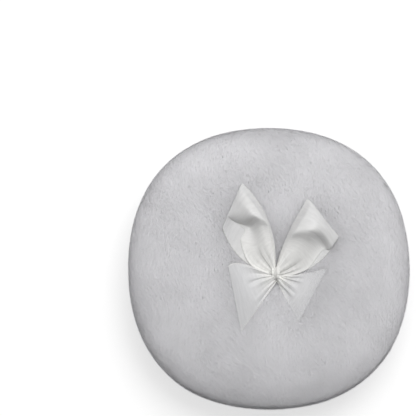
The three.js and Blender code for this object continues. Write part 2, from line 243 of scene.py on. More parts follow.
def grid_faces(rows: int, columns: int, closed: bool = False) -> Rows:
    """Faces of a grid of points, row by row.

    Args:
        rows: How many rows of points.
        columns: How many points in a row.
        closed: Whether each row closes on itself.

    Returns:
        Four vertex numbers for each face.
    """
    row = np.arange(rows - 1)[:, None]
    column = np.arange(columns if closed else columns - 1)[None, :]
    beside = (column + 1) % columns
    here, right = row * columns + column, row * columns + beside
    return np.stack([here, right, right + columns, here + columns], axis=-1).reshape(-1, 4)


def sheet_mesh(front: Rows, back: Rows) -> tuple[Rows, list[Rows]]:
    """A thin closed body between two grids of points.

    Args:
        front: The upper grid.
        back: The lower grid, of the same size.

    Returns:
        Its points, front first, and its faces.
    """
    rows, columns = front.shape[:2]
    near = np.arange(rows * columns).reshape(rows, columns)
    top = grid_faces(rows, columns)
    rim = np.concatenate([near[0, :-1], near[:-1, -1], near[-1, :0:-1], near[:0:-1, 0]])
    ahead = np.roll(rim, -1)
    sides = np.stack([ahead, rim, rim + rows * columns, ahead + rows * columns], axis=-1)
    faces = [np.concatenate([top, top[:, ::-1] + rows * columns, sides])]
    return np.concatenate([front.reshape(-1, 3), back.reshape(-1, 3)]), faces


def tube_mesh(line: Rows, radii: Rows, sides: int) -> tuple[Rows, list[Rows]]:
    """A closed tube round a line.

    Args:
        line: The middle line, one point a row.
        radii: The radius at each point of it.
        sides: Points round the tube.

    Returns:
        Its points and faces.
    """
    forward = unit(np.gradient(line, axis=0))
    aside = np.zeros_like(forward)
    askew = forward[0][[1, 2, 0]] + 0.1
    aside[0] = unit(np.cross(forward[0], askew))
    for step in range(1, len(line)):
        aside[step] = unit(aside[step - 1] - forward[step] * (aside[step - 1] @ forward[step]))
    out = np.cross(forward, aside)
    turn = np.arange(sides) * (2 * math.pi / sides)
    spokes = np.cos(turn)[None, :, None] * aside[:, None] + np.sin(turn)[None, :, None] * out[:, None]
    rings = line[:, None] + radii[:, None, None] * spokes
    return rings_mesh(rings)


def rings_mesh(rings: Rows) -> tuple[Rows, list[Rows]]:
    """A closed body through rings of as many points each.

    Args:
        rings: Rings of points, one a row.

    Returns:
        Its points and faces, with a fan of triangles at either end.
    """
    count, sides = rings.shape[:2]
    points = np.concatenate([rings.reshape(-1, 3), rings[[0, -1]].mean(axis=1)])
    here = np.arange(sides)
    ahead = (here + 1) % sides
    first, last = np.full(sides, count * sides), np.full(sides, count * sides + 1)
    fans = np.concatenate([
        np.stack([first, ahead, here], axis=-1),
        np.stack([last, here + (count - 1) * sides, ahead + (count - 1) * sides], axis=-1),
    ])
    return points, [grid_faces(count, sides, closed=True), fans]


def joined(parts: list[tuple[Rows, list[Rows]]]) -> tuple[Rows, list[Rows]]:
    """Several meshes as one.

    Args:
        parts: Points and faces of each.

    Returns:
        The points and faces of all.
    """
    points, faces, held = [], [], 0
    for own_points, own_faces in parts:
        points.append(own_points)
        faces.extend(table + held for table in own_faces)
        held += len(own_points)
    return np.concatenate(points), faces


# Finishes


@dataclass
class NodeBoard:
    """The nodes of one material or node group."""

    tree: bpy.types.NodeTree

    def add(
        self, kind: str, inputs: dict[str | int, Source] | None = None, **settings: object
    ) -> bpy.types.Node:
        """Places a node.

        Args:
            kind: The node's type, without its ShaderNode prefix.
            inputs: For each input socket, a value or the socket that feeds it.
            **settings: The node's own settings.

        Returns:
            The node.
        """
        node = self.tree.nodes.new("ShaderNode" + kind)
        for name, value in settings.items():
            setattr(node, name, value)
        for name, source in (inputs or {}).items():
            if isinstance(source, Socket):
                self.tree.links.new(source, node.inputs[name])
            else:
                node.inputs[name].default_value = source
        return node

    def read(self, name: str) -> bpy.types.Node:
        """The attribute of that name, which a piece's vertices hold."""
        return self.add("Attribute", attribute_name=name)

    def place(self) -> Socket:
        """Where a point of the surface lies in the puff's own frame."""
        return self.add("TexCoord").outputs["Object"]


class Effect(Enum):
    """Effects that more than one finish uses, each one node group."""

    MOTTLE = "soft_mottle"
    RIBBING = "fine_ribbing"
    TWIST = "twisted_strands"

    def group(self) -> bpy.types.NodeTree:
        """The effect's node group, built at its first use.

        Returns:
            The node group.
        """
        made = bpy.data.node_groups.get(self.value)
        if made is not None:
            return made
        makers = {Effect.MOTTLE: mottle_nodes, Effect.RIBBING: ribbing_nodes, Effect.TWIST: twist_nodes}
        tree = bpy.data.node_groups.new(self.value, "ShaderNodeTree")
        makers[self](tree)
        return tree

    def add_to(self, board: NodeBoard, inputs: dict[str, Source]) -> bpy.types.Node:
        """Places the effect in a material with values of its own."""
        return board.add("Group", inputs, node_tree=self.group())


def socket(tree: bpy.types.NodeTree, name: str, way: str, kind: str, value: float | None = None) -> None:
    """Gives a node group a named input or output.

    Args:
        tree: The node group.
        name: The socket's name.
        way: INPUT or OUTPUT.
        kind: Float, Vector or Color.
        value: What the input holds when nothing feeds it.
    """
    made = tree.interface.new_socket(name=name, in_out=way, socket_type="NodeSocket" + kind)
    if value is not None:
        made.default_value = value


PATCH_SWING = 4.0
PLY_SLANT = (0.8, 1.0, 0.6)


def mottle_nodes(tree: bpy.types.NodeTree) -> None:
    """Soft patches a little lighter and darker than the rest, and finer specks among them.

    Args:
        tree: The node group to fill.
    """
    socket(tree, "Place", "INPUT", "Vector")
    socket(tree, "Patches per metre", "INPUT", "Float", 60.0)
    socket(tree, "Contrast", "INPUT", "Float", 0.05)
    socket(tree, "Shade", "OUTPUT", "Float")
    board = NodeBoard(tree)
    given = tree.nodes.new("NodeGroupInput")
    patch = board.add("TexNoise", {
        "Vector": given.outputs["Place"], "Scale": given.outputs["Patches per metre"],
        "Detail": 3.0, "Roughness": 0.55,
    })
    centred = board.add("Math", {0: patch.outputs["Fac"], 1: 0.5}, operation="SUBTRACT")
    spread = board.add("Math", {0: centred.outputs[0], 1: given.outputs["Contrast"]}, operation="MULTIPLY")
    shade = board.add("Math", {0: spread.outputs[0], 1: PATCH_SWING, 2: 1.0}, operation="MULTIPLY_ADD")
    result = tree.nodes.new("NodeGroupOutput")
    tree.links.new(shade.outputs[0], result.inputs["Shade"])


def ribbing_nodes(tree: bpy.types.NodeTree) -> None:
    """Fine ridges that run along a cloth, crossed by a fainter set, as its yarns do.

    Args:
        tree: The node group to fill.
    """
    socket(tree, "Place", "INPUT", "Vector")
    socket(tree, "Ridges per metre", "INPUT", "Float", 5000.0)
    socket(tree, "Cross share", "INPUT", "Float", 0.3)
    socket(tree, "Height", "OUTPUT", "Float")
    board = NodeBoard(tree)
    given = tree.nodes.new("NodeGroupInput")
    parts = board.add("SeparateXYZ", {0: given.outputs["Place"]})
    waves = []
    for axis in ("Y", "X"):
        turns = board.add("Math", {
            0: parts.outputs[axis], 1: given.outputs["Ridges per metre"],
        }, operation="MULTIPLY")
        full = board.add("Math", {0: turns.outputs[0], 1: 2 * math.pi}, operation="MULTIPLY")
        waves.append(board.add("Math", {0: full.outputs[0]}, operation="SINE"))
    cross = board.add("Math", {
        0: waves[1].outputs[0], 1: given.outputs["Cross share"], 2: waves[0].outputs[0],
    }, operation="MULTIPLY_ADD")
    result = tree.nodes.new("NodeGroupOutput")
    tree.links.new(cross.outputs[0], result.inputs["Height"])


def twist_nodes(tree: bpy.types.NodeTree) -> None:
    """Slanting ridges of plies laid round each other.

    Args:
        tree: The node group to fill.
    """
    socket(tree, "Place", "INPUT", "Vector")
    socket(tree, "Turns per metre", "INPUT", "Float", 2500.0)
    socket(tree, "Height", "OUTPUT", "Float")
    board = NodeBoard(tree)
    given = tree.nodes.new("NodeGroupInput")
    slant = board.add("VectorMath", {0: given.outputs["Place"], 1: PLY_SLANT}, operation="DOT_PRODUCT")
    turns = board.add("Math", {
        0: slant.outputs["Value"], 1: given.outputs["Turns per metre"],
    }, operation="MULTIPLY")
    full = board.add("Math", {0: turns.outputs[0], 1: 2 * math.pi}, operation="MULTIPLY")
    wave = board.add("Math", {0: full.outputs[0]}, operation="SINE")
    result = tree.nodes.new("NodeGroupOutput")
    tree.links.new(wave.outputs[0], result.inputs["Height"])


@dataclass(frozen=True)
class Finish:
    """A material: its colour, how it takes the light, its soft patches and its fine relief."""

    name: str
    colour: tuple[float, float, float]
    roughness: float
    sheen: float = 0.0
    sheen_roughness: float = 0.5
    patches_per_metre: float = 120.0
    contrast: float = 0.05
    depth: float = 0.15 * MM
    relief_strength: float = 0.6

    def material(self) -> bpy.types.Material:
        """The material, built at its first use.

        Returns:
            The material.
        """
        made = bpy.data.materials.get(self.name)
        if made is not None:
            return made
        made = bpy.data.materials.new(self.name)
        made.use_nodes = True
        shader = made.node_tree.nodes["Principled BSDF"]
        shader.inputs["Roughness"].default_value = self.roughness
        shader.inputs["Sheen Weight"].default_value = self.sheen
        shader.inputs["Sheen Roughness"].default_value = self.sheen_roughness
        board = NodeBoard(made.node_tree)
        made.node_tree.links.new(self.tint(board), shader.inputs["Base Color"])
        relief = self.relief(board)
        if relief is not None:
            made.node_tree.links.new(relief, shader.inputs["Normal"])
        return made

    def tint(self, board: NodeBoard) -> Socket:
        """The colour over the surface."""
        raise NotImplementedError

    def relief(self, board: NodeBoard) -> Socket | None:
        """The fine relief of the surface, or None."""
        return None

    def mottle(self, board: NodeBoard, place: Socket) -> Socket:
        """How light the surface is, patch by patch."""
        return Effect.MOTTLE.add_to(board, {
            "Place": place, "Patches per metre": self.patches_per_metre, "Contrast": self.contrast,
        }).outputs["Shade"]

    def shaded(self, board: NodeBoard, shade: Socket, colour: Source) -> Socket:
        """A colour made lighter or darker by a shade."""
        return board.add("VectorMath", {0: colour, 1: shade}, operation="MULTIPLY").outputs["Vector"]

    def bumped(self, board: NodeBoard, height: Socket) -> Socket:
        """The normals of a relief of that height."""
        bump = board.add("Bump", {"Height": height, "Distance": self.depth, "Strength": self.relief_strength})
        return bump.outputs["Normal"]


@dataclass(frozen=True)
class PileFinish(Finish):
    """Plush pile: painted shade towards the roots and round the bow, in soft patches."""

    patches_per_metre: float = 70.0
    contrast: float = 0.045
    root_share: float = 0.7

    def tint(self, board: NodeBoard) -> Socket:
        """The pile's colour: painted shade up each strand and round the bow, and soft patches.

        Args:
            board: The material's nodes.

        Returns:
            The colour.
        """
        # Painted shade: each strand's marked light runs its colour from root_share at the root up to full at
        # the tip.
        height = board.read("painted_pile_light").outputs["Fac"]
        depth = board.add("MapRange", {"Value": height, "To Min": self.root_share, "To Max": 1.0})
        mottle = self.mottle(board, board.place())
        shade = board.add("Math", {0: depth.outputs["Result"], 1: mottle}, operation="MULTIPLY")
        return self.shaded(board, shade.outputs[0], self.colour)


@dataclass(frozen=True)
class ClothFinish(Finish):
    """Knitted or felted cloth, with soft patches and a fine relief."""

    ridges_per_metre: float = 900.0
    cross_share: float = 0.8

    def tint(self, board: NodeBoard) -> Socket:
        """The cloth's colour."""
        return self.shaded(board, self.mottle(board, self.place(board)), self.colour)

    def relief(self, board: NodeBoard) -> Socket:
        """The ridges of its yarns."""
        ribbing = Effect.RIBBING.add_to(board, {
            "Place": self.place(board), "Ridges per metre": self.ridges_per_metre,
            "Cross share": self.cross_share,
        })
        return self.bumped(board, ribbing.outputs["Height"])

    def place(self, board: NodeBoard) -> Socket:
        """Where a point of the cloth lies."""
        return board.place()


@dataclass(frozen=True)
class SatinFinish(ClothFinish):
    """Satin ribbon: smooth floats along its length; towards the knot a warmer white where it is gathered
    thick, also painted much lighter as painted light; faint streaks of painted sheen.
    """

    patches_per_metre: float = 1100.0
    contrast: float = 0.07
    depth: float = 0.012 * MM
    relief_strength: float = 0.5
    ridges_per_metre: float = 4200.0
    cross_share: float = 0.25
    # A warmer white, far lighter than the ribbon's own: painted light at the knot.
    lit_knot_colour: tuple[float, float, float] = (0.96, 0.955, 0.93)
    # Stretch of the painted sheen streaks across the ribbon.
    sheen_streak_stretch: tuple[float, float, float] = (1.0, 0.18, 1.0)

    def tint(self, board: NodeBoard) -> Socket:
        """The ribbon's colour: warmer and painted lighter towards the knot, with faint streaks of painted
        sheen across it.

        Args:
            board: The material's nodes.

        Returns:
            The colour.
        """
        # Painted light: towards the knot the colour runs to a much lighter, warmer white.
        gathered_and_lit = board.read("gathered_and_lit").outputs["Fac"]
        warmed_and_lit = board.add("Mix", {
            "Factor": gathered_and_lit, "A": (*self.colour, 1.0), "B": (*self.lit_knot_colour, 1.0),
        }, data_type="RGBA")
        # Painted sheen: faint lighter and darker streaks across the ribbon.
        drawn = board.add("VectorMath", {0: self.place(board), 1: self.sheen_streak_stretch}, operation="MULTIPLY")
        return self.shaded(board, self.mottle(board, drawn.outputs["Vector"]), warmed_and_lit.outputs["Result"])

    def place(self, board: NodeBoard) -> Socket:
        """Where a point lies on the ribbon laid out flat."""
        return board.read("ribbon_place").outputs["Vector"]


@dataclass(frozen=True)
class ThreadFinish(Finish):
    """Twisted sewing thread."""

    patches_per_metre: float = 700.0
    contrast: float = 0.04
    depth: float = 0.05 * MM
    relief_strength: float = 0.7
    turns_per_metre: float = 1600.0

    def tint(self, board: NodeBoard) -> Socket:
        """The thread's colour, a little uneven."""
        return self.shaded(board, self.mottle(board, board.place()), self.colour)

    def relief(self, board: NodeBoard) -> Socket:
        """The thread's plies."""
        twist = Effect.TWIST.add_to(board, {"Place": board.place(), "Turns per metre": self.turns_per_metre})
        return self.bumped(board, twist.outputs["Height"])


PILE = PileFinish("plush_pile", (0.93, 0.925, 0.945), 0.9, sheen=0.4)
# The knitted backing is coloured darker than the pile: painted shade at the foot of the pile.
BACKING = ClothFinish("knitted_backing", (0.60, 0.595, 0.62), 0.95)
SATIN = SatinFinish("white_satin", (0.65, 0.65, 0.66), 0.34, sheen=0.1)
THREAD = ThreadFinish("sewing_thread", (0.86, 0.85, 0.83), 0.55)
WADDING = ClothFinish("fibre_wadding", (0.9, 0.9, 0.88), 1.0, ridges_per_metre=400.0, contrast=0.1)
FOAM = ClothFinish("soft_foam", (0.88, 0.84, 0.72), 0.95, ridges_per_metre=1400.0)


# Cushion


@dataclass(frozen=True)
class CushionForm:
    """The cushion over the tips of its pile: its outline, its crown and the dimple under the bow."""

    seam_height: float
    radius: float = 60 * MM
    corners: int = 4
    corner_swell_share: float = 0.02
    top_rise: float = 19 * MM
    bottom_rise: float = 19.5 * MM
    side_power: float = 3.3
    crown_power: float = 2.2
    seam_draw: float = 1.6 * MM
    seam_roll: float = 3 * MM
    side_turn: float = math.pi / 3
    bow_place: tuple[float, float] = (2.4 * MM, -1.8 * MM)
    dimple_depth: float = 3.6 * MM
    dimple_reach: float = 11 * MM
    settle_steps: int = 8

    def outline(self, angle: Rows) -> Rows:
        """The outline's radius, a little larger towards its soft corners."""
        return self.radius * (1 - self.corner_swell_share * np.cos(self.corners * angle))

    def reach_towards(self, arm: Rows) -> Rows:
        """How far the outline is from the bow's place.

        Args:
            arm: Directions in plan, of any length.

        Returns:
            The distance along each.
        """
        way = unit(arm)
        reach = np.full(arm.shape[:-1], self.radius)
        for _ in range(self.settle_steps):
            edge = way * reach[..., None] + self.bow_place
            angle = np.arctan2(edge[..., 1], edge[..., 0])
            reach = reach + self.outline(angle) - np.linalg.norm(edge, axis=-1)
        return reach

    def crown_rise(self, share: Rows, rise: float) -> Rows:
        """How far a crown stands over the seam, from its middle at 0 to its rim at 1."""
        arc = (1 - np.clip(share, 0, 1) ** self.side_power) ** (1 / self.crown_power)
        return self.seam_roll + (rise - self.seam_roll) * arc

    def dimple(self, distance: Rows) -> Rows:
        """How deep the bow's stitch draws the pile down, at a distance from it."""
        return self.dimple_depth * np.exp(-((distance / self.dimple_reach) ** 2))

    def pile_top(self, plan: Rows) -> Rows:
        """The height of the pile's tips.

        Args:
            plan: Places in plan, along the last axis.

        Returns:
            A height for each.
        """
        arm = plan - np.array(self.bow_place)
        distance = np.linalg.norm(arm, axis=-1)
        share = distance / self.reach_towards(arm)
        return self.seam_height + self.crown_rise(share, self.top_rise) - self.dimple(distance)

    def section(self, rise: float, depth: float, rows: int) -> Rows:
        """A cover's section from the seam to the middle, that deep under the tips of its pile.

        Args:
            rise: How far the crown stands over the seam.
            depth: How deep the section lies.
            rows: Points on each of its three stretches.

        Returns:
            Share of the way from the bow's place to the outline, inset from the outline, and rise, one
            point a row.
        """
        up = np.linspace(0, 1, rows, endpoint=False)
        drawn = depth + self.seam_draw * (1 - up) ** 2
        rolled = np.stack([np.ones(rows), drawn, self.seam_roll * up], axis=-1)
        rim = np.cos(np.linspace(0, self.side_turn, 2 * rows, endpoint=False)) ** (2 / self.side_power)
        inmost = math.cos(self.side_turn) ** (2 / self.side_power)
        share = np.concatenate([rim, np.linspace(inmost, 0, 2 * rows)])
        crown = np.stack([share, np.full_like(share, depth), self.crown_rise(share, rise - depth)], axis=-1)
        return np.concatenate([rolled, crown])

    def carried_round(self, section: Rows, angles: Rows, top: bool) -> Rows:
        """A section carried round the outline.

        Args:
            section: Share, inset and rise of each point.
            angles: Directions from the middle.
            top: Whether it is the top cover, which has the dimple, or the bottom one, which rests flat.

        Returns:
            A grid of points, one row for each direction.
        """
        spoke = np.stack([np.cos(angles), np.sin(angles)], axis=-1)
        arm = spoke * self.outline(angles)[:, None] - self.bow_place
        length = np.linalg.norm(arm, axis=-1)[:, None]
        share, inset, rise = section.T
        distance = (length - inset) * share
        plan = (arm / length)[:, None] * distance[..., None] + self.bow_place
        if top:
            height = self.seam_height + rise - self.dimple(distance)
        else:
            height = np.maximum(self.seam_height - rise, 0) + 0 * distance
        return np.concatenate([plan, height[..., None]], axis=-1)


@dataclass(frozen=True)
class Nap:
    """How the pile lies: brushed one way, outwards at the rim, and ruffled in patches."""

    brushed: tuple[float, float] = (0.3, -0.8)
    outward_share: float = 0.3
    ruffle: Drift = Drift(34 * MM, 11)
    ruffle_turn: float = 0.3
    lean: float = 2.1 * MM
    full_lean_from: float = 0.6
    seam_share: float = 0.5
    rim_pull: float = 10 * MM
    rim_pull_from: float = 0.6
    rim_pull_over: float = 0.3
    lean_swing_share: float = 0.12
    swing: Drift = Drift(23 * MM, 29)
    stand_up_share: float = 0.3
    stand_up_reach: float = 26 * MM

    def lie(self, at: Rows, normal: Rows, form: CushionForm, top: bool) -> Rows:
        """How far and which way the tips lean from over their roots.

        Args:
            at: Places on the surface.
            normal: Which way the surface faces there.
            form: The cushion.
            top: Whether it is the top cover. Each cover's pile lies away from the seam where it is brushed
                off it, so that it parts nowhere but in the seam.

        Returns:
            A vector along the surface for each.
        """
        out = at[:, :2] / form.radius
        rim = np.clip(np.linalg.norm(out, axis=-1, keepdims=True), 0, 1) ** 2
        way = np.array(self.brushed) + out * self.outward_share * rim
        turn = self.ruffle_turn * self.ruffle.at(at)
        cosine, sine = np.cos(turn), np.sin(turn)
        plan = np.stack([
            way[:, 0] * cosine - way[:, 1] * sine, way[:, 0] * sine + way[:, 1] * cosine,
        ], axis=-1)
        from_seam = np.full((len(at), 1), self.seam_share if top else -self.seam_share)
        flow = np.concatenate([plan, from_seam], axis=-1)
        flat = flow - normal * (flow * normal).sum(axis=-1, keepdims=True)
        flat = flat / np.maximum(np.linalg.norm(flat, axis=-1, keepdims=True), self.full_lean_from)
        from_bow = np.linalg.norm(at[:, :2] - np.array(form.bow_place), axis=-1)
        upright = self.stand_up_share * swell(from_bow, 0, self.stand_up_reach)
        return flat * (self.lean * (1 + self.lean_swing_share * self.swing.at(at)) * (1 - upright))[:, None]

    def pull(self, lean: Rows, over: Rows, form: CushionForm) -> Rows:
        """How far tips that lean past the rim are drawn in to follow its curve.

        Args:
            lean: How far each leans.
            over: The place over its root, at the pile's full height.
            form: The cushion.

        Returns:
            A distance for each.
        """
        drawn = (lean * lean).sum(axis=-1) / (2 * self.rim_pull)
        out = np.linalg.norm(over[:, :2], axis=-1) / form.radius
        return drawn * np.clip((out - self.rim_pull_from) / self.rim_pull_over, 0, 1)


@dataclass
class Pressed:
    """How low the bow presses the pile, and how much painted shade the pile round it takes, in square cells
    seen from above.
    """

    cell: float = 0.5 * MM
    cells: int = 260
    slack: float = 0.2 * MM
    # spread and spread_gain set how far and how strongly the painted shade round the bow reaches.
    spread: int = 110
    spread_gain: float = 2.0
    heights: Rows = field(init=False)
    over: Rows = field(init=False)

    def __post_init__(self) -> None:
        """Starts with nothing on the pile."""
        self.heights = np.full((self.cells, self.cells), np.inf)
        self.over = np.zeros((self.cells, self.cells))

    def cells_of(self, points: Rows) -> tuple[Rows, Rows]:
        """The cell that each point is in.

        Args:
            points: Points, along the last axis.

        Returns:
            The numbers of its row and of its column, for each.
        """
        place = np.floor(points[..., :2] / self.cell).astype(int) + self.cells // 2
        place = np.clip(place, 0, self.cells - 1)
        return place[..., 0].ravel(), place[..., 1].ravel()

    def lay(self, points: Rows, over: Rows) -> None:
        """Lays something on the pile.

        Args:
            points: Points of its underside.
            over: Share of the strands that still lie over it there.
        """
        cells = self.cells_of(points)
        np.minimum.at(self.heights, cells, points[..., 2].ravel() - self.slack)
        self.over[cells] = over.ravel()

    def painted_shade_round_bow(self, points: Rows) -> Rows:
        """How much painted shade the pile takes round the bow: one under the bow, and less and less away from
        it.

        Args:
            points: Where the pile stands.

        Returns:
            A share for each.
        """
        share = np.isfinite(self.heights).astype(float)
        for _ in range(self.spread):
            share = (np.roll(share, 1, 0) + share + np.roll(share, -1, 0)) / 3
            share = (np.roll(share, 1, 1) + share + np.roll(share, -1, 1)) / 3
        return np.clip(self.spread_gain * share[self.cells_of(points)], 0, 1)

    def press(self, points: Rows, luck: Rows) -> None:
        """Presses points of the pile down to what lies on it.

        Args:
            points: The points, one a row.
            luck: A share for each, which decides whether it slips over the ribbon.
        """
        cells = self.cells_of(points)
        height = np.where(luck < self.over[cells], np.inf, self.heights[cells])
        points[:, 2] = np.minimum(points[:, 2], height)


@dataclass(frozen=True)
class Pile:
    """The pile of one cover, as flat strands in panels round the cushion."""

    name: str
    top: bool
    panels: int
    strands_per_panel: int
    seed: int
    height: float
    section_rows: int = 12
    section_angles: int = 361
    strand_width: float = 0.15 * MM
    uneven: float = 0.12 * MM
    lean_spread: float = 0.25
    tip_scatter: float = 0.14 * MM
    bend_scatter: float = 0.1 * MM
    roll: float = 0.3
    clump_width: float = 1.6 * MM
    clump_share: float = 0.12
    clump_warp: float = 0.4 * MM
    clump_warp_length: float = 5 * MM
    # How much darker the pile is painted round the bow, as shade.
    bow_shade_share: float = 0.34
    upright_share: float = 0.93
    upright_spread: float = 0.02
    curl_share: float = 0.12
    # Painted shade along each strand: its root corners dark, its bend and tip lighter.
    shade_shares: tuple[float, ...] = (0.0, 0.0, 0.8, 0.8, 1.0)
    cell_places: tuple[tuple[float, float], ...] = (
        (0.15, 0.1), (0.85, 0.1), (0.15, 0.7), (0.85, 0.7), (0.5, 0.9),
    )

    def sown(self, form: CushionForm, rise: float, rng: np.random.Generator) -> tuple[Rows, Rows, Rows]:
        """Where the strands stand, in order round the cushion.

        Args:
            form: The cushion.
            rise: How far the cover's crown stands over the seam.
            rng: The draw of chances.

        Returns:
            Their roots, the places over them at the pile's full height, and which way it faces there.
        """
        count = self.panels * self.strands_per_panel
        angles = np.linspace(0, 2 * math.pi, self.section_angles)
        outer, inner = (
            form.carried_round(form.section(rise, depth, self.section_rows), angles, self.top)
            for depth in (0, self.height)
        )
        around, inward = np.gradient(outer, axis=0), np.gradient(outer, axis=1)
        normals = unit(np.cross(inward, around))
        facing = ((outer - inner) * normals).sum(axis=-1, keepdims=True)
        normals = np.where(facing < 0, -normals, normals)
        sides = outer[1:, :-1] - outer[:-1, :-1], outer[:-1, 1:] - outer[:-1, :-1]
        areas = np.linalg.norm(np.cross(*sides), axis=-1).ravel()
        edges = np.cumsum(areas) / areas.sum()
        cell = np.searchsorted(edges, (np.arange(count) + rng.uniform(0, 1, count)) / count)
        row, column = np.divmod(np.minimum(cell, len(areas) - 1), outer.shape[1] - 1)
        u, v = rng.uniform(0, 1, (2, count))

        def blended(grid: Rows) -> Rows:
            """A grid's value where each strand stands in its cell."""
            near = mixed(grid[row, column], grid[row, column + 1], v)
            return mixed(near, mixed(grid[row + 1, column], grid[row + 1, column + 1], v), u)

        return blended(inner), blended(outer), unit(blended(normals))

    def strands(
        self, form: CushionForm, nap: Nap, rise: float, pressed: Pressed
    ) -> tuple[Rows, Rows, Rows, Rows]:
        """Roots, bends and tips of all strands, in order round the cushion.

        Args:
            form: The cushion.
            nap: How the pile lies.
            rise: How far the cover's crown stands over the seam.
            pressed: How low the bow presses it.

        Returns:
            Three tables of points, and the vectors across the strands.
        """
        rng = np.random.default_rng(self.seed)
        root, over, normal = self.sown(form, rise, rng)
        count = len(root)
        lean = nap.lie(over, normal, form, self.top)
        lean = lean * rng.uniform(1 - self.lean_spread, 1 + self.lean_spread, count)[:, None]
        stand = rng.normal(0, self.uneven, count) - nap.pull(lean, over, form)
        tip = over + lean + normal * stand[:, None]
        tip = self.clumped(tip + rng.normal(0, self.tip_scatter, (count, 3)))
        lifted = self.upright_share + rng.normal(0, self.upright_spread, count)
        bend = mixed(root, over, lifted) + lean * self.curl_share
        bend = bend + rng.normal(0, self.bend_scatter, (count, 3))
        if self.top:
            luck = rng.uniform(0, 1, count)
            pressed.press(tip, luck)
            pressed.press(bend, luck)
        tip[:, 2] = np.maximum(tip[:, 2], self.strand_width)
        bend[:, 2] = np.maximum(bend[:, 2], 2 * self.strand_width)
        level = unit(np.cross(tip - bend, normal))
        turn = rng.normal(0, self.roll, count)[:, None]
        across = level * np.cos(turn) + np.cross(unit(tip - bend), level) * np.sin(turn)
        return root, bend, tip, across * self.strand_width

    def clumped(self, tips: Rows) -> Rows:
        """Tips drawn a little towards their neighbours, as pile fibres hold together.

        Args:
            tips: The tips.

        Returns:
            The same tips, moved.
        """
        drifts = [Drift(self.clump_warp_length, self.seed + axis) for axis in range(3)]
        warp = np.stack([drift.at(tips) for drift in drifts], axis=-1)
        keys = np.floor((tips + self.clump_warp * warp) / self.clump_width).astype(np.int64)
        _, clump, size = np.unique(keys, axis=0, return_inverse=True, return_counts=True)
        clump = clump.ravel()
        centre = np.stack([np.bincount(clump, axis) / size for axis in tips.T], axis=-1)
        return mixed(tips, centre[clump], np.full(len(tips), self.clump_share))

    def build(self, form: CushionForm, nap: Nap, rise: float, pressed: Pressed) -> list[Piece]:
        """The panels of pile.

        Args:
            form: The cushion.
            nap: How the pile lies.
            rise: How far the cover's crown stands over the seam.
            pressed: How low the bow presses it.

        Returns:
            One object for each panel.
        """
        root, bend, tip, across = self.strands(form, nap, rise, pressed)
        half = across / 2
        points = np.stack([root - half, root + half, bend - half, bend + half, tip], axis=1)
        # Painted shade: the pile round the bow is coloured darker.
        unshaded_share = 1 - self.bow_shade_share * pressed.painted_shade_round_bow(root) * self.top
        parts = zip(np.split(points, self.panels), np.split(unshaded_share, self.panels))
        return [self.panel(number, part, unshaded_share) for number, (part, unshaded_share) in enumerate(parts)]

    def panel(self, number: int, points: Rows, unshaded_share: Rows) -> Piece:
        """One panel of strands.

        Args:
            number: Which panel.
            points: The strands' vertices, one strand a row.
            unshaded_share: How light each strand is painted: one, or less in the painted shade round the bow.

        Returns:
            The panel's object, with a map that gives each strand a cell of its own.
        """
        count, each = points.shape[:2]
        first = (np.arange(count) * each)[:, None]
        faces = [first + np.array([[0, 1, 3, 2]]), first + np.array([[2, 3, 4]])]
        name = f"{self.name}_{number + 1}"
        piece = mesh_piece(name, points.reshape(-1, 3), faces, PILE.material(), smooth=False)
        # Painted shade: darker towards each strand's root and round the bow.
        mark(piece, "painted_pile_light", np.outer(unshaded_share, self.shade_shares).ravel())
        self.lay_out(piece, count)
        return piece

    def lay_out(self, piece: Piece, count: int) -> None:
        """Gives each strand a cell of the OFBake map, root at its foot.

        Args:
            piece: The panel.
            count: Strands in it.
        """
        across = math.ceil(math.sqrt(count))
        cell = np.arange(count)
        corner = np.stack([cell % across, cell // across], axis=-1)[:, None]
        places = ((corner + np.array(self.cell_places)) / across).reshape(-1, 2)
        loops = np.empty(len(piece.data.loops), np.int32)
        piece.data.loops.foreach_get("vertex_index", loops)
        layer = piece.data.uv_layers.new(name="OFBake")
        layer.uv.foreach_set("vector", places[loops].astype(np.float32).ravel())


@dataclass
class Cushion:
    """The sewn cushion: two covers with their pile. The seam and the filling are the imported model's own
    pieces.
    """

    form: CushionForm
    nap: Nap = field(default_factory=Nap)
    cloth: float = 1.2 * MM
    pile: float = 6 * MM
    fill: float = 0.85
    columns: int = 144
    section_rows: int = 8
    panels: int = 8
    strands_per_panel: int = 55000
    quick_share: float = 0.25
    seeds: tuple[int, int] = (5, 6)

    def build(self, pressed: Pressed) -> list[Piece]:
        """Builds both covers' cloth and their pile.

        Args:
            pressed: How low the bow presses the pile.

        Returns:
            The pieces, which all ride on the puff.
        """
        strands = int(self.strands_per_panel * (1))
        pieces = []
        for name, rise, panels, seed in (
            ("top", self.form.top_rise, self.panels, self.seeds[0]),
            ("bottom", self.form.bottom_rise, self.panels // 2, self.seeds[1]),
        ):
            top = name == "top"
            cover = self.cover(f"{name}_cover_cloth", rise, top)
            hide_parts(f"{name}_plush_cover")
            pile = Pile(f"{name}_pile", top, panels, strands, seed, self.pile)
            pieces += [cover, *pile.build(self.form, self.nap, rise, pressed)]
        for piece in pieces:
            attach(piece, "puff")
        return pieces

    def cover(self, name: str, rise: float, top: bool) -> Piece:
        """A cover's knitted cloth, a shell that is turned in at the seam.

        Args:
            name: The piece's name.
            rise: How far the crown stands over the seam.
            top: Whether it is the top cover.

        Returns:
            The cloth.
        """
        angles = np.arange(self.columns) * (2 * math.pi / self.columns)
        outer, inner = (
            self.form.carried_round(self.form.section(rise, depth, self.section_rows), angles, top)
            for depth in (self.pile, self.pile + self.cloth)
        )
        grid = np.concatenate([outer[:, ::-1], inner], axis=1).transpose(1, 0, 2)
        if not top:
            grid = grid[::-1]
        return mesh_piece(name, *rings_mesh(grid), BACKING.material())


# Bow


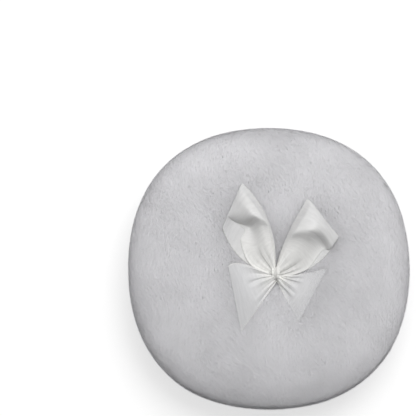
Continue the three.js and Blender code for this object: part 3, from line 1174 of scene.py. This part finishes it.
@dataclass(frozen=True)
class Satin:
    """The ribbon that the bow is folded from, and its gather."""

    width: float = 20 * MM
    thickness: float = 0.36 * MM
    sink: float = 0.3 * MM
    gather_length: float = 3.2 * MM
    flare_width: float = 6.0 * MM
    flare_height: float = 4.2 * MM
    waist_width: float = 4.8 * MM
    waist_height: float = 3.2 * MM
    selvedge_radius: float = 0.2 * MM
    selvedge_pitch: float = 1.0 * MM
    selvedge_swell_shares: tuple[float, float] = (0.85, 0.25)
    # Painted highlight: the selvedges take this share of the knot's lighter colour.
    selvedge_highlight_share: float = 0.8
    selvedge_steps: int = 6
    selvedge_sides: int = 8
    slope_step: float = 1e-3


@dataclass(frozen=True)
class Pleats:
    """Pleats that fan out from the gather and fade: wide ones, and fine ones between them, no two alike."""

    wide_count: float = 4.0
    fine_count: float = 9.5
    fine_share: float = 0.6
    sway_share: float = 0.03
    sway_count: float = 2.3
    side_shares: tuple[float, float, float] = (0.3, 0.1, 0.25)

    def at(self, near: Rows, across: Rows, depth: float, side: Side) -> Rows:
        """How far they stand off the surface.

        Args:
            near: How near the knot: one there.
            across: Share of the way across the ribbon.
            depth: Depth of the wide pleats.
            side: The ribbon's side of the knot, which shifts them.

        Returns:
            A distance for each.
        """
        sway, wide, fine = np.array(self.side_shares) * side.value
        uneven = across + self.sway_share * np.sin(2 * math.pi * (self.sway_count * across + sway))
        broad = np.cos(2 * math.pi * (self.wide_count * uneven + wide))
        narrow = np.cos(2 * math.pi * (self.fine_count * uneven + fine))
        return depth * near * broad + self.fine_share * depth * near**2 * narrow


@dataclass(frozen=True)
class Outline:
    """A loop's or tail's outline in plan, from the knot: its two roots, its tip and what bends its edges."""

    side: Side
    tip_reach: float
    tip_angle: float
    far_reach: float
    far_angle: float
    inner_root: tuple[float, float]
    outer_root: tuple[float, float]
    inner_bend_shares: tuple[float, float]
    outer_bend_shares: tuple[float, float]

    def at(self, along: Rows, across: Rows) -> Rows:
        """Places on the ribbon in plan.

        Args:
            along: Share of the way from the knot.
            across: Share of the way from the inner to the outer edge.

        Returns:
            Places, from the knot.
        """
        tip = polar(self.tip_reach, self.tip_angle)
        turn = -90 if tip[1] * self.side.value > 0 else 90
        outward = polar(self.tip_reach, self.tip_angle + turn)

        def bend(shares: tuple[float, float]) -> Rows:
            """A place that bends an edge, by shares of the way out and aside."""
            return tip * shares[0] + outward * shares[1]

        inner = bezier(np.array(self.inner_root), bend(self.inner_bend_shares), tip, along)
        corner = tip + polar(self.far_reach, self.far_angle)
        outer = bezier(np.array(self.outer_root), bend(self.outer_bend_shares), corner, along)
        return mixed(inner, outer, across)


@dataclass
class RibbonPiece:
    """A loop or a tail of the bow: a length of satin with its two selvedges."""

    name: str
    outline: Outline
    form: CushionForm
    satin: Satin
    pressed: Pressed
    rows: int
    columns: int = 96
    sink: float = 0.0
    covered_share: float = 0.0
    pleats: Pleats = Pleats()
    pleat_depth: float = 0.85 * MM
    pleat_fade_share: float = 0.6
    pleat_start: tuple[float, float] = (-0.06, 0.25)
    # How far from the knot its warmer, painted-lighter colour reaches.
    knot_light_reach: float = 0.3
    bend_from: float = 0.0
    bend_to: float = 2 * MM

    def surface(self, turn: Rows, across: Rows) -> Rows:
        """The middle surface of the ribbon, without its pleats."""
        raise NotImplementedError

    def ruffles(self, turn: Rows, across: Rows) -> Rows:
        """How far the pleats stand off the middle surface."""
        return self.pleats.at(self.near_knot(turn), across, self.pleat_depth, self.outline.side)

    def near_knot(self, line: Rows) -> Rows:
        """How deep the pleats are along the way from the knot: they start in the gather and fade."""
        return np.maximum(1 - line / self.pleat_fade_share, 0) * ramp(line, *self.pleat_start)

    def gathered_and_lit(self, turn: Rows) -> Rows:
        """How near the knot the ribbon is, which sets its warmer, painted-lighter colour: one there, nought
        away from it.
        """
        return swell(turn, 0, self.knot_light_reach)

    def laid(self, along: Rows, across: Rows, rise: Rows) -> Rows:
        """Points over the pile.

        Args:
            along: Share of the way from the knot.
            across: Share of the way from the inner to the outer edge.
            rise: How far they are over where the ribbon lies.

        Returns:
            Points.
        """
        plan = self.outline.at(along, across) + np.array(self.form.bow_place)
        level = self.form.pile_top(plan) - self.satin.sink - self.sink + rise
        return np.concatenate([plan, level[..., None]], axis=-1)

    def normals(self, turn: Rows, across: Rows) -> Rows:
        """Which way the ribbon faces.

        Args:
            turn: Share of the way through its length.
            across: Share of the way across it.

        Returns:
            A direction for each.
        """
        step = self.satin.slope_step
        ahead = np.where(turn < 0.5, step, -step)
        aside = np.where(across < 0.5, step, -step)
        start = self.surface(turn, across)
        forward = (self.surface(turn + ahead, across) - start) / ahead[..., None]
        sideways = (self.surface(turn, across + aside) - start) / aside[..., None]
        return unit(np.cross(forward, sideways))

    def raised(self, turn: Rows, across: Rows) -> tuple[Rows, Rows]:
        """The middle surface with its pleats, and which way it faces.

        Args:
            turn: Share of the way through the ribbon's length.
            across: Share of the way across it.

        Returns:
            Points and directions.
        """
        normal = self.normals(turn, across)
        return self.surface(turn, across) + normal * self.ruffles(turn, across)[..., None], normal

    def build(self) -> tuple[Piece, Piece]:
        """Builds the ribbon and its selvedges.

        Returns:
            The ribbon, and its selvedges as one object.
        """
        turn, across = np.meshgrid(
            np.linspace(0, 1, self.rows), np.linspace(0, 1, self.columns), indexing="ij",
        )
        middle, normal = self.raised(turn, across)
        half = normal * (self.satin.thickness / 2)
        self.pressed.lay(middle, self.covered_share * turn)
        points, faces = sheet_mesh(middle + half, middle - half)
        ribbon = mesh_piece(f"{self.name}_ribbon", points, faces, SATIN.material())
        length = np.linalg.norm(np.diff(middle, axis=0), axis=-1).sum(axis=0).mean()
        place = np.stack([turn * length, across * self.satin.width, 0 * turn], axis=-1)
        mark(ribbon, "ribbon_place", np.tile(place.reshape(-1, 3), (2, 1)))
        # Painted light: the ribbon is coloured lighter and warmer towards the knot.
        mark(ribbon, "gathered_and_lit", np.tile(self.gathered_and_lit(turn).ravel(), 2))
        selvedge = self.selvedge(length)
        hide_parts(self.name)
        self.hang(ribbon, selvedge)
        LOG.info("%s: %.0f mm of ribbon", self.name, length / MM)
        return ribbon, selvedge

    def selvedge(self, length: float) -> Piece:
        """The ribbon's two woven edges, each a row of small thread loops.

        Args:
            length: The ribbon's length.

        Returns:
            Both edges as one object.
        """
        beads = round(length / self.satin.selvedge_pitch)
        turn = np.linspace(0, 1, beads * self.satin.selvedge_steps + 1)
        least, swelling = self.satin.selvedge_swell_shares
        radii = self.satin.selvedge_radius * (least + swelling * np.cos(2 * math.pi * beads * turn))
        edges = []
        for across in (0.0, 1.0):
            line, _ = self.raised(turn, np.full_like(turn, across))
            edges.append(tube_mesh(line, radii, self.satin.selvedge_sides))
        points, faces = joined(edges)
        piece = mesh_piece(f"{self.name}_selvedges", points, faces, SATIN.material())
        mark(piece, "ribbon_place", points)
        # Painted highlight: the selvedges are coloured lighter along their length.
        mark(piece, "gathered_and_lit", np.full(len(points), self.satin.selvedge_highlight_share))
        return piece

    def hang(self, *pieces: Piece) -> None:
        """Bakes the pieces' placement into their meshes; the bend's start and end are worked out but not
        used.
        """
        joint = joint_of(self.name)
        place, axis = np.array(joint["pos_m"]), unit(np.array(joint["axis"]))
        ahead = unit(np.cross([0, 0, 1], axis))
        if ahead[:2] @ polar(self.outline.tip_reach, self.outline.tip_angle) < 0:
            ahead = -ahead
        start, end = place - ahead * self.bend_from, place + ahead * self.bend_to
        for piece in pieces:
            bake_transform(piece)
            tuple(start)
            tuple(end)


@dataclass(frozen=True)
class Hood:
    """How a loop's upper layer has buckled: where its lip runs, and what falls, folds or dents beside it."""

    lip_place: float
    lip_lean: float
    lip_arch: float = 0.0
    lip_wave: float = 0.0
    wave_width: float = 1.0
    lip_limit: float = 0.975
    lip_over: tuple[float, float] = (0.1, 0.45)
    tuck_share: float = 0.12
    tuck_over: tuple[float, float] = (0.3, 0.56)
    untuck_over: tuple[float, float] = (0.42, 0.58)
    crest_over: tuple[float, float] = (0.6, 0.78)
    crest_width: float = 1.0
    crest_power: float = 0.6
    outer_fall: tuple[float, float] = (0.4, 1.0)
    edge_lift: float = 0.0
    inner_fall: tuple[float, float] = (0.5, 0.16)
    ridge_rise: float = 0.0
    ridge_across: tuple[float, float] = (0.74, 0.2)
    dent_depth: float = 0.0
    dent_across: tuple[float, float] = (0.4, 0.14)
    dent_along: tuple[float, float] = (0.9, 0.12)

    def lip(self, across: Rows) -> Rows:
        """How far out the hood's lip runs.

        Args:
            across: Share of the way across the ribbon.

        Returns:
            A share of the loop's length for each.
        """
        wave = self.lip_wave * np.sin(2 * math.pi * across / self.wave_width)
        line = self.lip_place + self.lip_lean * across + self.lip_arch * np.sin(math.pi * across) + wave
        return np.minimum(line, self.lip_limit)

    def folded(self, turn: Rows, line: Rows, across: Rows, upper: Rows) -> Rows:
        """The share across that shows where the outer edge is folded under."""
        tucked = upper * ramp(line, *self.tuck_over) * (1 - ramp(turn, *self.untuck_over))
        return across * (1 - self.tuck_share * tucked)

    def arched(self, across: Rows) -> Rows:
        """Share of the loop's height over its edges, across it."""
        return np.sin(math.pi * np.clip(across / self.crest_width, 0, 1)) ** self.crest_power

    def fallen(self, rise: Rows, edge: Rows, across: Rows, upper: Rows, crest: Rows) -> Rows:
        """The heights, with both edges fallen to where the ribbon lies flat.

        Args:
            rise: Heights before.
            edge: The height of a flat edge.
            across: Share of the way across the ribbon.
            upper: How much each point belongs to the upper layer.
            crest: How much it belongs to the hood over the lip.

        Returns:
            The heights.
        """
        inner_share, inner_width = self.inner_fall
        outer = ramp(across, *self.outer_fall) * (1 - self.edge_lift * crest)
        falls = upper * np.maximum(outer, inner_share * (1 - ramp(across, 0, inner_width)))
        return rise + (np.minimum(edge, rise) - rise) * falls

    def creased(self, along: Rows, across: Rows, crest: Rows) -> Rows:
        """How far the hood's ridge stands up and its dent goes in."""
        ridge = self.ridge_rise * crest * swell(across, *self.ridge_across)
        dent = self.dent_depth * crest * swell(across, *self.dent_across) * swell(along, *self.dent_along)
        return ridge - dent


@dataclass
class Loop(RibbonPiece):
    """A loop: out to the fold and back, its upper layer buckled into a hood."""

    hood: Hood = Hood(0.56, 0)
    height: float = 8.5 * MM
    edge_share: float = 0.35
    lip_turn: float = 0.645
    edge_rise: float = 0.45 * MM
    root_rise: float = 0.9 * MM
    root_share: float = 0.32
    pleat_depth: float = 0.42 * MM
    pleat_fade_share: float = 0.4
    pleats_over: tuple[float, float] = (0.1, 0.5)
    # How far along the loop the knot's warmer, painted-lighter colour reaches.
    knot_light_reach: float = 0.62
    # Some more of the knot's painted-lighter colour where the loop lies double.
    double_share: float = 0.24
    double_until: tuple[float, float] = (0.66, 0.74)
    bend_from: float = 1.5 * MM
    bend_to: float = 3 * MM
    line_shares: tuple[tuple[float, float], ...] = (
        (0, 0.42), (0.12, 0.46), (0.26, 0.48), (0.38, 0.49), (0.46, 0.53), (0.53, 0.63),
        (0.58, 0.8), (0.63, 0.96), (0.7, 1), (0.88, 0.86), (1, 0.45),
        (0.93, 0.1), (0.7, 0.03), (0.4, 0.03), (0.15, 0.06), (0, 0.1),
    )

    def profile(self, turn: Rows) -> tuple[Rows, Rows]:
        """The loop's line: share of the way out, and share of its height."""
        line = catmull_rom(np.array(self.line_shares), turn)
        return line[..., 0], line[..., 1]

    def surface(self, turn: Rows, across: Rows) -> Rows:
        """The loop's middle surface.

        Args:
            turn: Share of the way from the gather, out over the hood, and back below.
            across: Share from the inner to the outer edge.

        Returns:
            Points.
        """
        hood, (line, up) = self.hood, self.profile(turn)
        upper = np.clip(up / self.edge_share, 0, 1)
        across_shown = hood.folded(turn, line, across, upper)
        lip = hood.lip(across_shown)
        below = line * (1 + (lip / self.lip_turn - 1) * ramp(line, *hood.lip_over))
        above = 1 - (1 - line) * (1 - lip) / (1 - self.lip_turn)
        along = line + upper * (np.where(line < self.lip_turn, below, above) - line)
        edge = self.edge_rise + self.root_rise * swell(line, 0, self.root_share)
        crest = upper * ramp(line, *hood.crest_over)
        over_edge = np.maximum(up - self.edge_share, 0) * hood.arched(across)
        rise = self.height * (np.minimum(up, self.edge_share) + over_edge)
        rise = hood.fallen(rise, edge, across, upper, crest) + hood.creased(along, across, crest)
        return self.laid(along, across_shown, rise)

    def gathered_and_lit(self, turn: Rows) -> Rows:
        """How near the knot the loop is, with some more where it lies double: this warms its colour and
        paints it lighter.
        """
        double = self.double_share * (1 - ramp(turn, *self.double_until))
        return double + (1 - double) * swell(self.profile(turn)[0], 0, self.knot_light_reach)

    def ruffles(self, turn: Rows, across: Rows) -> Rows:
        """How far the loop's pleats stand off its middle surface: its inner edge has none."""
        near = self.near_knot(self.profile(turn)[0]) * ramp(across, *self.pleats_over)
        return self.pleats.at(near, across, self.pleat_depth, self.outline.side)


@dataclass
class Tail(RibbonPiece):
    """A tail: one layer of ribbon that lies on the pile, up to its slanting cut."""

    root_lift: float = 2.4 * MM
    root_reach: float = 7 * MM
    lift: float = 0.8 * MM
    wave: float = 0.7 * MM
    lift_fade_share: float = 0.45
    inner_drop_share: float = 0.55
    inner_drop_width: float = 0.3

    def surface(self, turn: Rows, across: Rows) -> Rows:
        """The tail's middle surface.

        Args:
            turn: Share of the way from the gather to the cut.
            across: Share from the inner to the outer edge.

        Returns:
            Points.
        """
        lift = self.lift * swell(turn, 0, self.lift_fade_share)
        lift = lift + self.root_lift * swell(turn, 0, self.root_reach / self.outline.tip_reach)
        lift = lift * (1 - self.inner_drop_share * (1 - ramp(across, 0, self.inner_drop_width)))
        wave = self.wave * np.sin(math.pi * turn) * np.sin(math.pi * across)
        return self.laid(turn, across, lift + wave)


def joint_of(body: str) -> dict:
    """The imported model's joint that carries a body."""
    return next(joint for joint in FRAME["joints"] if joint["child"] == body)


@dataclass
class Bow:
    """The bow: loops, tails, the gather and the thread wound round it."""

    form: CushionForm
    pressed: Pressed
    satin: Satin = field(default_factory=Satin)
    binding_radius: float = 0.18 * MM
    binding_pitch: float = 0.5 * MM
    binding_turns: int = 3
    sewn_gap: float = 0.05 * MM
    gather_drop: float = 1.4 * MM
    gather_sink: float = 0.8 * MM
    gather_rings: int = 49
    gather_sides: int = 192
    gather_sway: float = 0.35
    gather_pleats: tuple[int, int] = (8, 19)
    fine_share: float = 0.5
    fold_share: float = 0.06
    binding_steps: int = 48
    binding_sides: int = 12

    def ribbons(self) -> list[RibbonPiece]:
        """The loops and tails, each with its own outline.

        Returns:
            The four, ready to build.
        """
        shared = {"form": self.form, "satin": self.satin, "pressed": self.pressed}
        left_loop = Outline(
            Side.LEFT, tip_reach=38.2 * MM, tip_angle=111, far_reach=self.satin.width, far_angle=246,
            inner_root=(-0.1 * MM, 1.6 * MM), outer_root=(-1.2 * MM, -1.6 * MM),
            inner_bend_shares=(0.53, -0.22), outer_bend_shares=(0.19, 0.39),
        )
        right_loop = Outline(
            Side.RIGHT, tip_reach=32.1 * MM, tip_angle=65.5, far_reach=self.satin.width, far_angle=-51.5,
            inner_root=(0.5 * MM, 1.6 * MM), outer_root=(1.2 * MM, -2.4 * MM),
            inner_bend_shares=(0.51, -0.08), outer_bend_shares=(0.15, 0.515),
        )
        left_tail = Outline(
            Side.LEFT, tip_reach=29 * MM, tip_angle=240.4, far_reach=27.1 * MM, far_angle=100.9,
            inner_root=(1.6 * MM, -3.0 * MM), outer_root=(-1.6 * MM, -2.2 * MM),
            inner_bend_shares=(0.555, -0.05), outer_bend_shares=(0.12, 0.57),
        )
        right_tail = Outline(
            Side.RIGHT, tip_reach=23.8 * MM, tip_angle=-67, far_reach=26.2 * MM, far_angle=61.8,
            inner_root=(-0.2 * MM, -3.0 * MM), outer_root=(2.2 * MM, -2.3 * MM),
            inner_bend_shares=(0.6, -0.015), outer_bend_shares=(0.3, 0.42),
        )
        left_hood = Hood(
            lip_place=0.455, lip_lean=0.66, lip_wave=0.055, wave_width=0.7,
            tuck_share=0.47, tuck_over=(0.22, 0.64), untuck_over=(0.4, 0.66),
            crest_width=0.86, outer_fall=(0.3, 0.85), ridge_rise=1.3 * MM, dent_depth=0.9 * MM,
        )
        right_hood = Hood(lip_place=0.45, lip_lean=0.33, lip_arch=0.15, tuck_share=0.12, edge_lift=0.6)
        return [
            Loop("left_loop", left_loop, **shared, rows=260, height=8.0 * MM, hood=left_hood),
            Loop("right_loop", right_loop, **shared, rows=260, hood=right_hood),
            Tail("left_tail", left_tail, **shared, rows=110, pleat_depth=0.5 * MM),
            Tail(
                "right_tail", right_tail, **shared, rows=110, sink=0.5 * MM, covered_share=0.1,
                pleat_depth=0.76 * MM,
            ),
        ]

    def flared(self, waist: float, flare: float, x: Rows) -> Rows:
        """Half the gather's width or height, from its waist to its ends."""
        return (waist + (flare - waist) * (2 * x / self.satin.gather_length) ** 2) / 2

    def gather_place(self) -> tuple[float, float, float]:
        """The middle of the gather.

        Returns:
            Its three coordinates.
        """
        low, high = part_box("bow_gather")
        x, y = self.form.bow_place
        return x, y - self.gather_drop, (low.z + high.z) / 2 - self.gather_sink

    def gather(self) -> Piece:
        """The pinched middle of the ribbon, in fine pleats.

        Returns:
            The gather.
        """
        satin, (x0, y0, z0) = self.satin, self.gather_place()
        x = np.linspace(-0.5, 0.5, self.gather_rings) * satin.gather_length
        turn = np.arange(self.gather_sides) * (2 * math.pi / self.gather_sides)
        wide = self.flared(satin.waist_width, satin.flare_width, x)[:, None]
        tall = self.flared(satin.waist_height, satin.flare_height, x)[:, None]
        sway = self.gather_sway * np.sin(2 * math.pi * x / satin.gather_length)[:, None]
        broad, fine = self.gather_pleats
        pleats = np.cos(broad * turn + sway) + self.fine_share * np.cos(fine * turn - 2 * sway)
        fold = 1 - self.fold_share * (1 + self.fine_share - pleats)
        rings = np.stack([
            x0 + x[:, None] + 0 * turn, y0 + wide * fold * np.cos(turn), z0 + tall * fold * np.sin(turn),
        ], axis=-1)
        points, faces = rings_mesh(rings)
        piece = mesh_piece("gathered_middle", points, faces, SATIN.material())
        mark(piece, "ribbon_place", points)
        # Painted light: the whole gather takes the knot's lighter, warmer colour.
        mark(piece, "gathered_and_lit", np.ones(len(points)))
        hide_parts("bow_gather")
        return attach(piece, "puff")

    def binding(self) -> Piece:
        """The thread wound round the gather's waist.

        Returns:
            The thread.
        """
        satin, (x0, y0, z0) = self.satin, self.gather_place()
        turns = np.linspace(0, self.binding_turns, self.binding_turns * self.binding_steps + 1)
        x = self.binding_pitch * (turns - self.binding_turns / 2)
        out = self.sewn_gap + self.binding_radius
        wide = self.flared(satin.waist_width, satin.flare_width, x) + out
        tall = self.flared(satin.waist_height, satin.flare_height, x) + out
        angle = 2 * math.pi * turns - math.pi / 2
        line = np.stack([x0 + x, y0 + wide * np.cos(angle), z0 + tall * np.sin(angle)], axis=-1)
        points, faces = tube_mesh(line, np.full(len(line), self.binding_radius), self.binding_sides)
        piece = mesh_piece("binding_thread", points, faces, THREAD.material())
        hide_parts("bow_binding_thread")
        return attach(piece, "puff")

    def build(self) -> list[Piece]:
        """Builds every piece of the bow.

        Returns:
            The pieces.
        """
        pieces = [self.gather(), self.binding()]
        for ribbon in self.ribbons():
            pieces += ribbon.build()
        return pieces


# Studio


def seen_directly(board: NodeBoard) -> Socket:
    """One where the camera sees a thing by itself, by reflection or through glass, else nought.

    Args:
        board: The nodes of the material or of the sky.

    Returns:
        The share.
    """
    path = board.add("LightPath")
    seen = board.add("Math", {
        0: path.outputs["Is Camera Ray"], 1: path.outputs["Is Glossy Ray"],
    }, operation="ADD")
    return board.add("Math", {
        0: seen.outputs[0], 1: path.outputs["Is Transmission Ray"],
    }, operation="ADD", use_clamp=True).outputs[0]


def placed(data: bpy.types.ID, place: Vector, towards: Vector) -> Piece:
    """Places a lamp or a camera.

    Args:
        data: The lamp or the camera.
        place: Where it goes.
        towards: Which way it points.

    Returns:
        Its object.
    """
    thing = bpy.data.objects.new(data.name, data)
    thing.location = place
    thing.rotation_mode = "QUATERNION"
    thing.rotation_quaternion = towards.to_track_quat("-Z", "Y")
    bpy.context.scene.collection.objects.link(thing)
    return thing


@dataclass(frozen=True)
class Studio:
    """A pale floor, soft light from the top of the view, and the camera almost straight above."""

    lamp_place: tuple[float, float, float] = (0.25, 0.65, 1.5)
    lamp_watts: float = 12.6
    lamp_size: float = 0.9
    sky_strength: float = 0.6
    sky_reach: tuple[float, float] = (-1.0, 0.15)
    floor_width: float = 6.0
    floor_colour: float = 0.55
    floor_glow: float = 0.6
    aim: tuple[float, float, float] = (-25.4 * MM, 25.4 * MM, 19 * MM)
    distance: float = 1.0
    elevation: float = 85.0
    view_width: float = 416 * 0.42 * MM
    sensor: float = 36.0

    def build(self) -> None:
        """Builds the floor, the lamp, the sky and the camera."""
        self.floor()
        self.lamp()
        self.world()
        self.camera()

    def floor(self) -> None:
        """A floor that shows white to the camera and keeps the puff's shadow."""
        half = self.floor_width / 2
        corners = np.array([(-half, -half, 0), (half, -half, 0), (half, half, 0), (-half, half, 0)])
        material = bpy.data.materials.new("pale_floor")
        material.use_nodes = True
        board = NodeBoard(material.node_tree)
        shader = material.node_tree.nodes["Principled BSDF"]
        shader.inputs["Base Color"].default_value = (self.floor_colour,) * 3 + (1,)
        shader.inputs["Roughness"].default_value = 1.0
        shader.inputs["Specular IOR Level"].default_value = 0.0
        glow = board.add("Math", {0: seen_directly(board), 1: self.floor_glow}, operation="MULTIPLY")
        shader.inputs["Emission Color"].default_value = (1, 1, 1, 1)
        material.node_tree.links.new(glow.outputs[0], shader.inputs["Emission Strength"])
        mesh_piece("floor", corners, [np.array([[0, 1, 2, 3]])], material)

    def lamp(self) -> None:
        """Hangs a soft square lamp and points it at the puff."""
        data = bpy.data.lights.new("key_lamp", "AREA")
        data.energy, data.size = self.lamp_watts, self.lamp_size
        placed(data, Vector(self.lamp_place), -Vector(self.lamp_place))

    def world(self) -> None:
        """A sky that is brighter towards the top of the view, and shows white to the camera."""
        world = bpy.data.worlds.new("studio_sky")
        world.use_nodes = True
        board = NodeBoard(world.node_tree)
        around = board.add("SeparateXYZ", {0: board.add("TexCoord").outputs["Generated"]})
        low, high = self.sky_reach
        cast = board.add("MapRange", {
            "Value": around.outputs["Y"], "From Min": low, "From Max": high,
            "To Min": 0.0, "To Max": self.sky_strength,
        })
        strength = board.add("MapRange", {
            "Value": seen_directly(board), "To Min": cast.outputs["Result"], "To Max": 1.0,
        })
        background = world.node_tree.nodes["Background"]
        background.inputs["Color"].default_value = (1, 1, 1, 1)
        world.node_tree.links.new(strength.outputs["Result"], background.inputs["Strength"])
        bpy.context.scene.world = world

    def camera(self) -> None:
        """The camera, almost straight above the puff."""
        data = bpy.data.cameras.new("camera")
        data.sensor_width = self.sensor
        data.lens = self.sensor * self.distance / self.view_width
        angle = math.radians(self.elevation)
        back = Vector((0, -math.cos(angle), math.sin(angle)))
        bpy.context.scene.camera = placed(data, Vector(self.aim) + back * self.distance, -back)


def dress_inner_nodes() -> None:
    """Gives the pieces inside the cushion the finish of what they are."""
    finishes = {
        "rim_seam_thread": THREAD, "bow_stitch_thread": THREAD,
        "top_wadding": WADDING, "bottom_wadding": WADDING, "foam_core": FOAM,
    }
    for node, finish in finishes.items():
        slots = FRAME["nodes"][node].data.materials
        slots.clear()
        slots.append(finish.material())


def clear_scene() -> None:
    """Takes away what a new Blender file starts with."""
    for item in list(bpy.data.objects):
        bpy.data.objects.remove(item)


def main() -> None:
    """Builds the studio and the puff, in order."""
    logging.basicConfig(level=logging.INFO, format="%(name)s: %(message)s")
    clear_scene()
    FRAME.update(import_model())
    bpy.context.scene.view_settings.view_transform = "Standard"
    Studio().build()
    low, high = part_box("rim_seam_thread")
    form = CushionForm(seam_height=(low.z + high.z) / 2)
    pressed = Pressed()
    bow = Bow(form, pressed).build()
    for piece in [*bow, *Cushion(form).build(pressed)]:
        LOG.info("%s: %d faces", piece.name, len(piece.data.polygons))
    dress_inner_nodes()


if __name__ == "__main__":
    main()
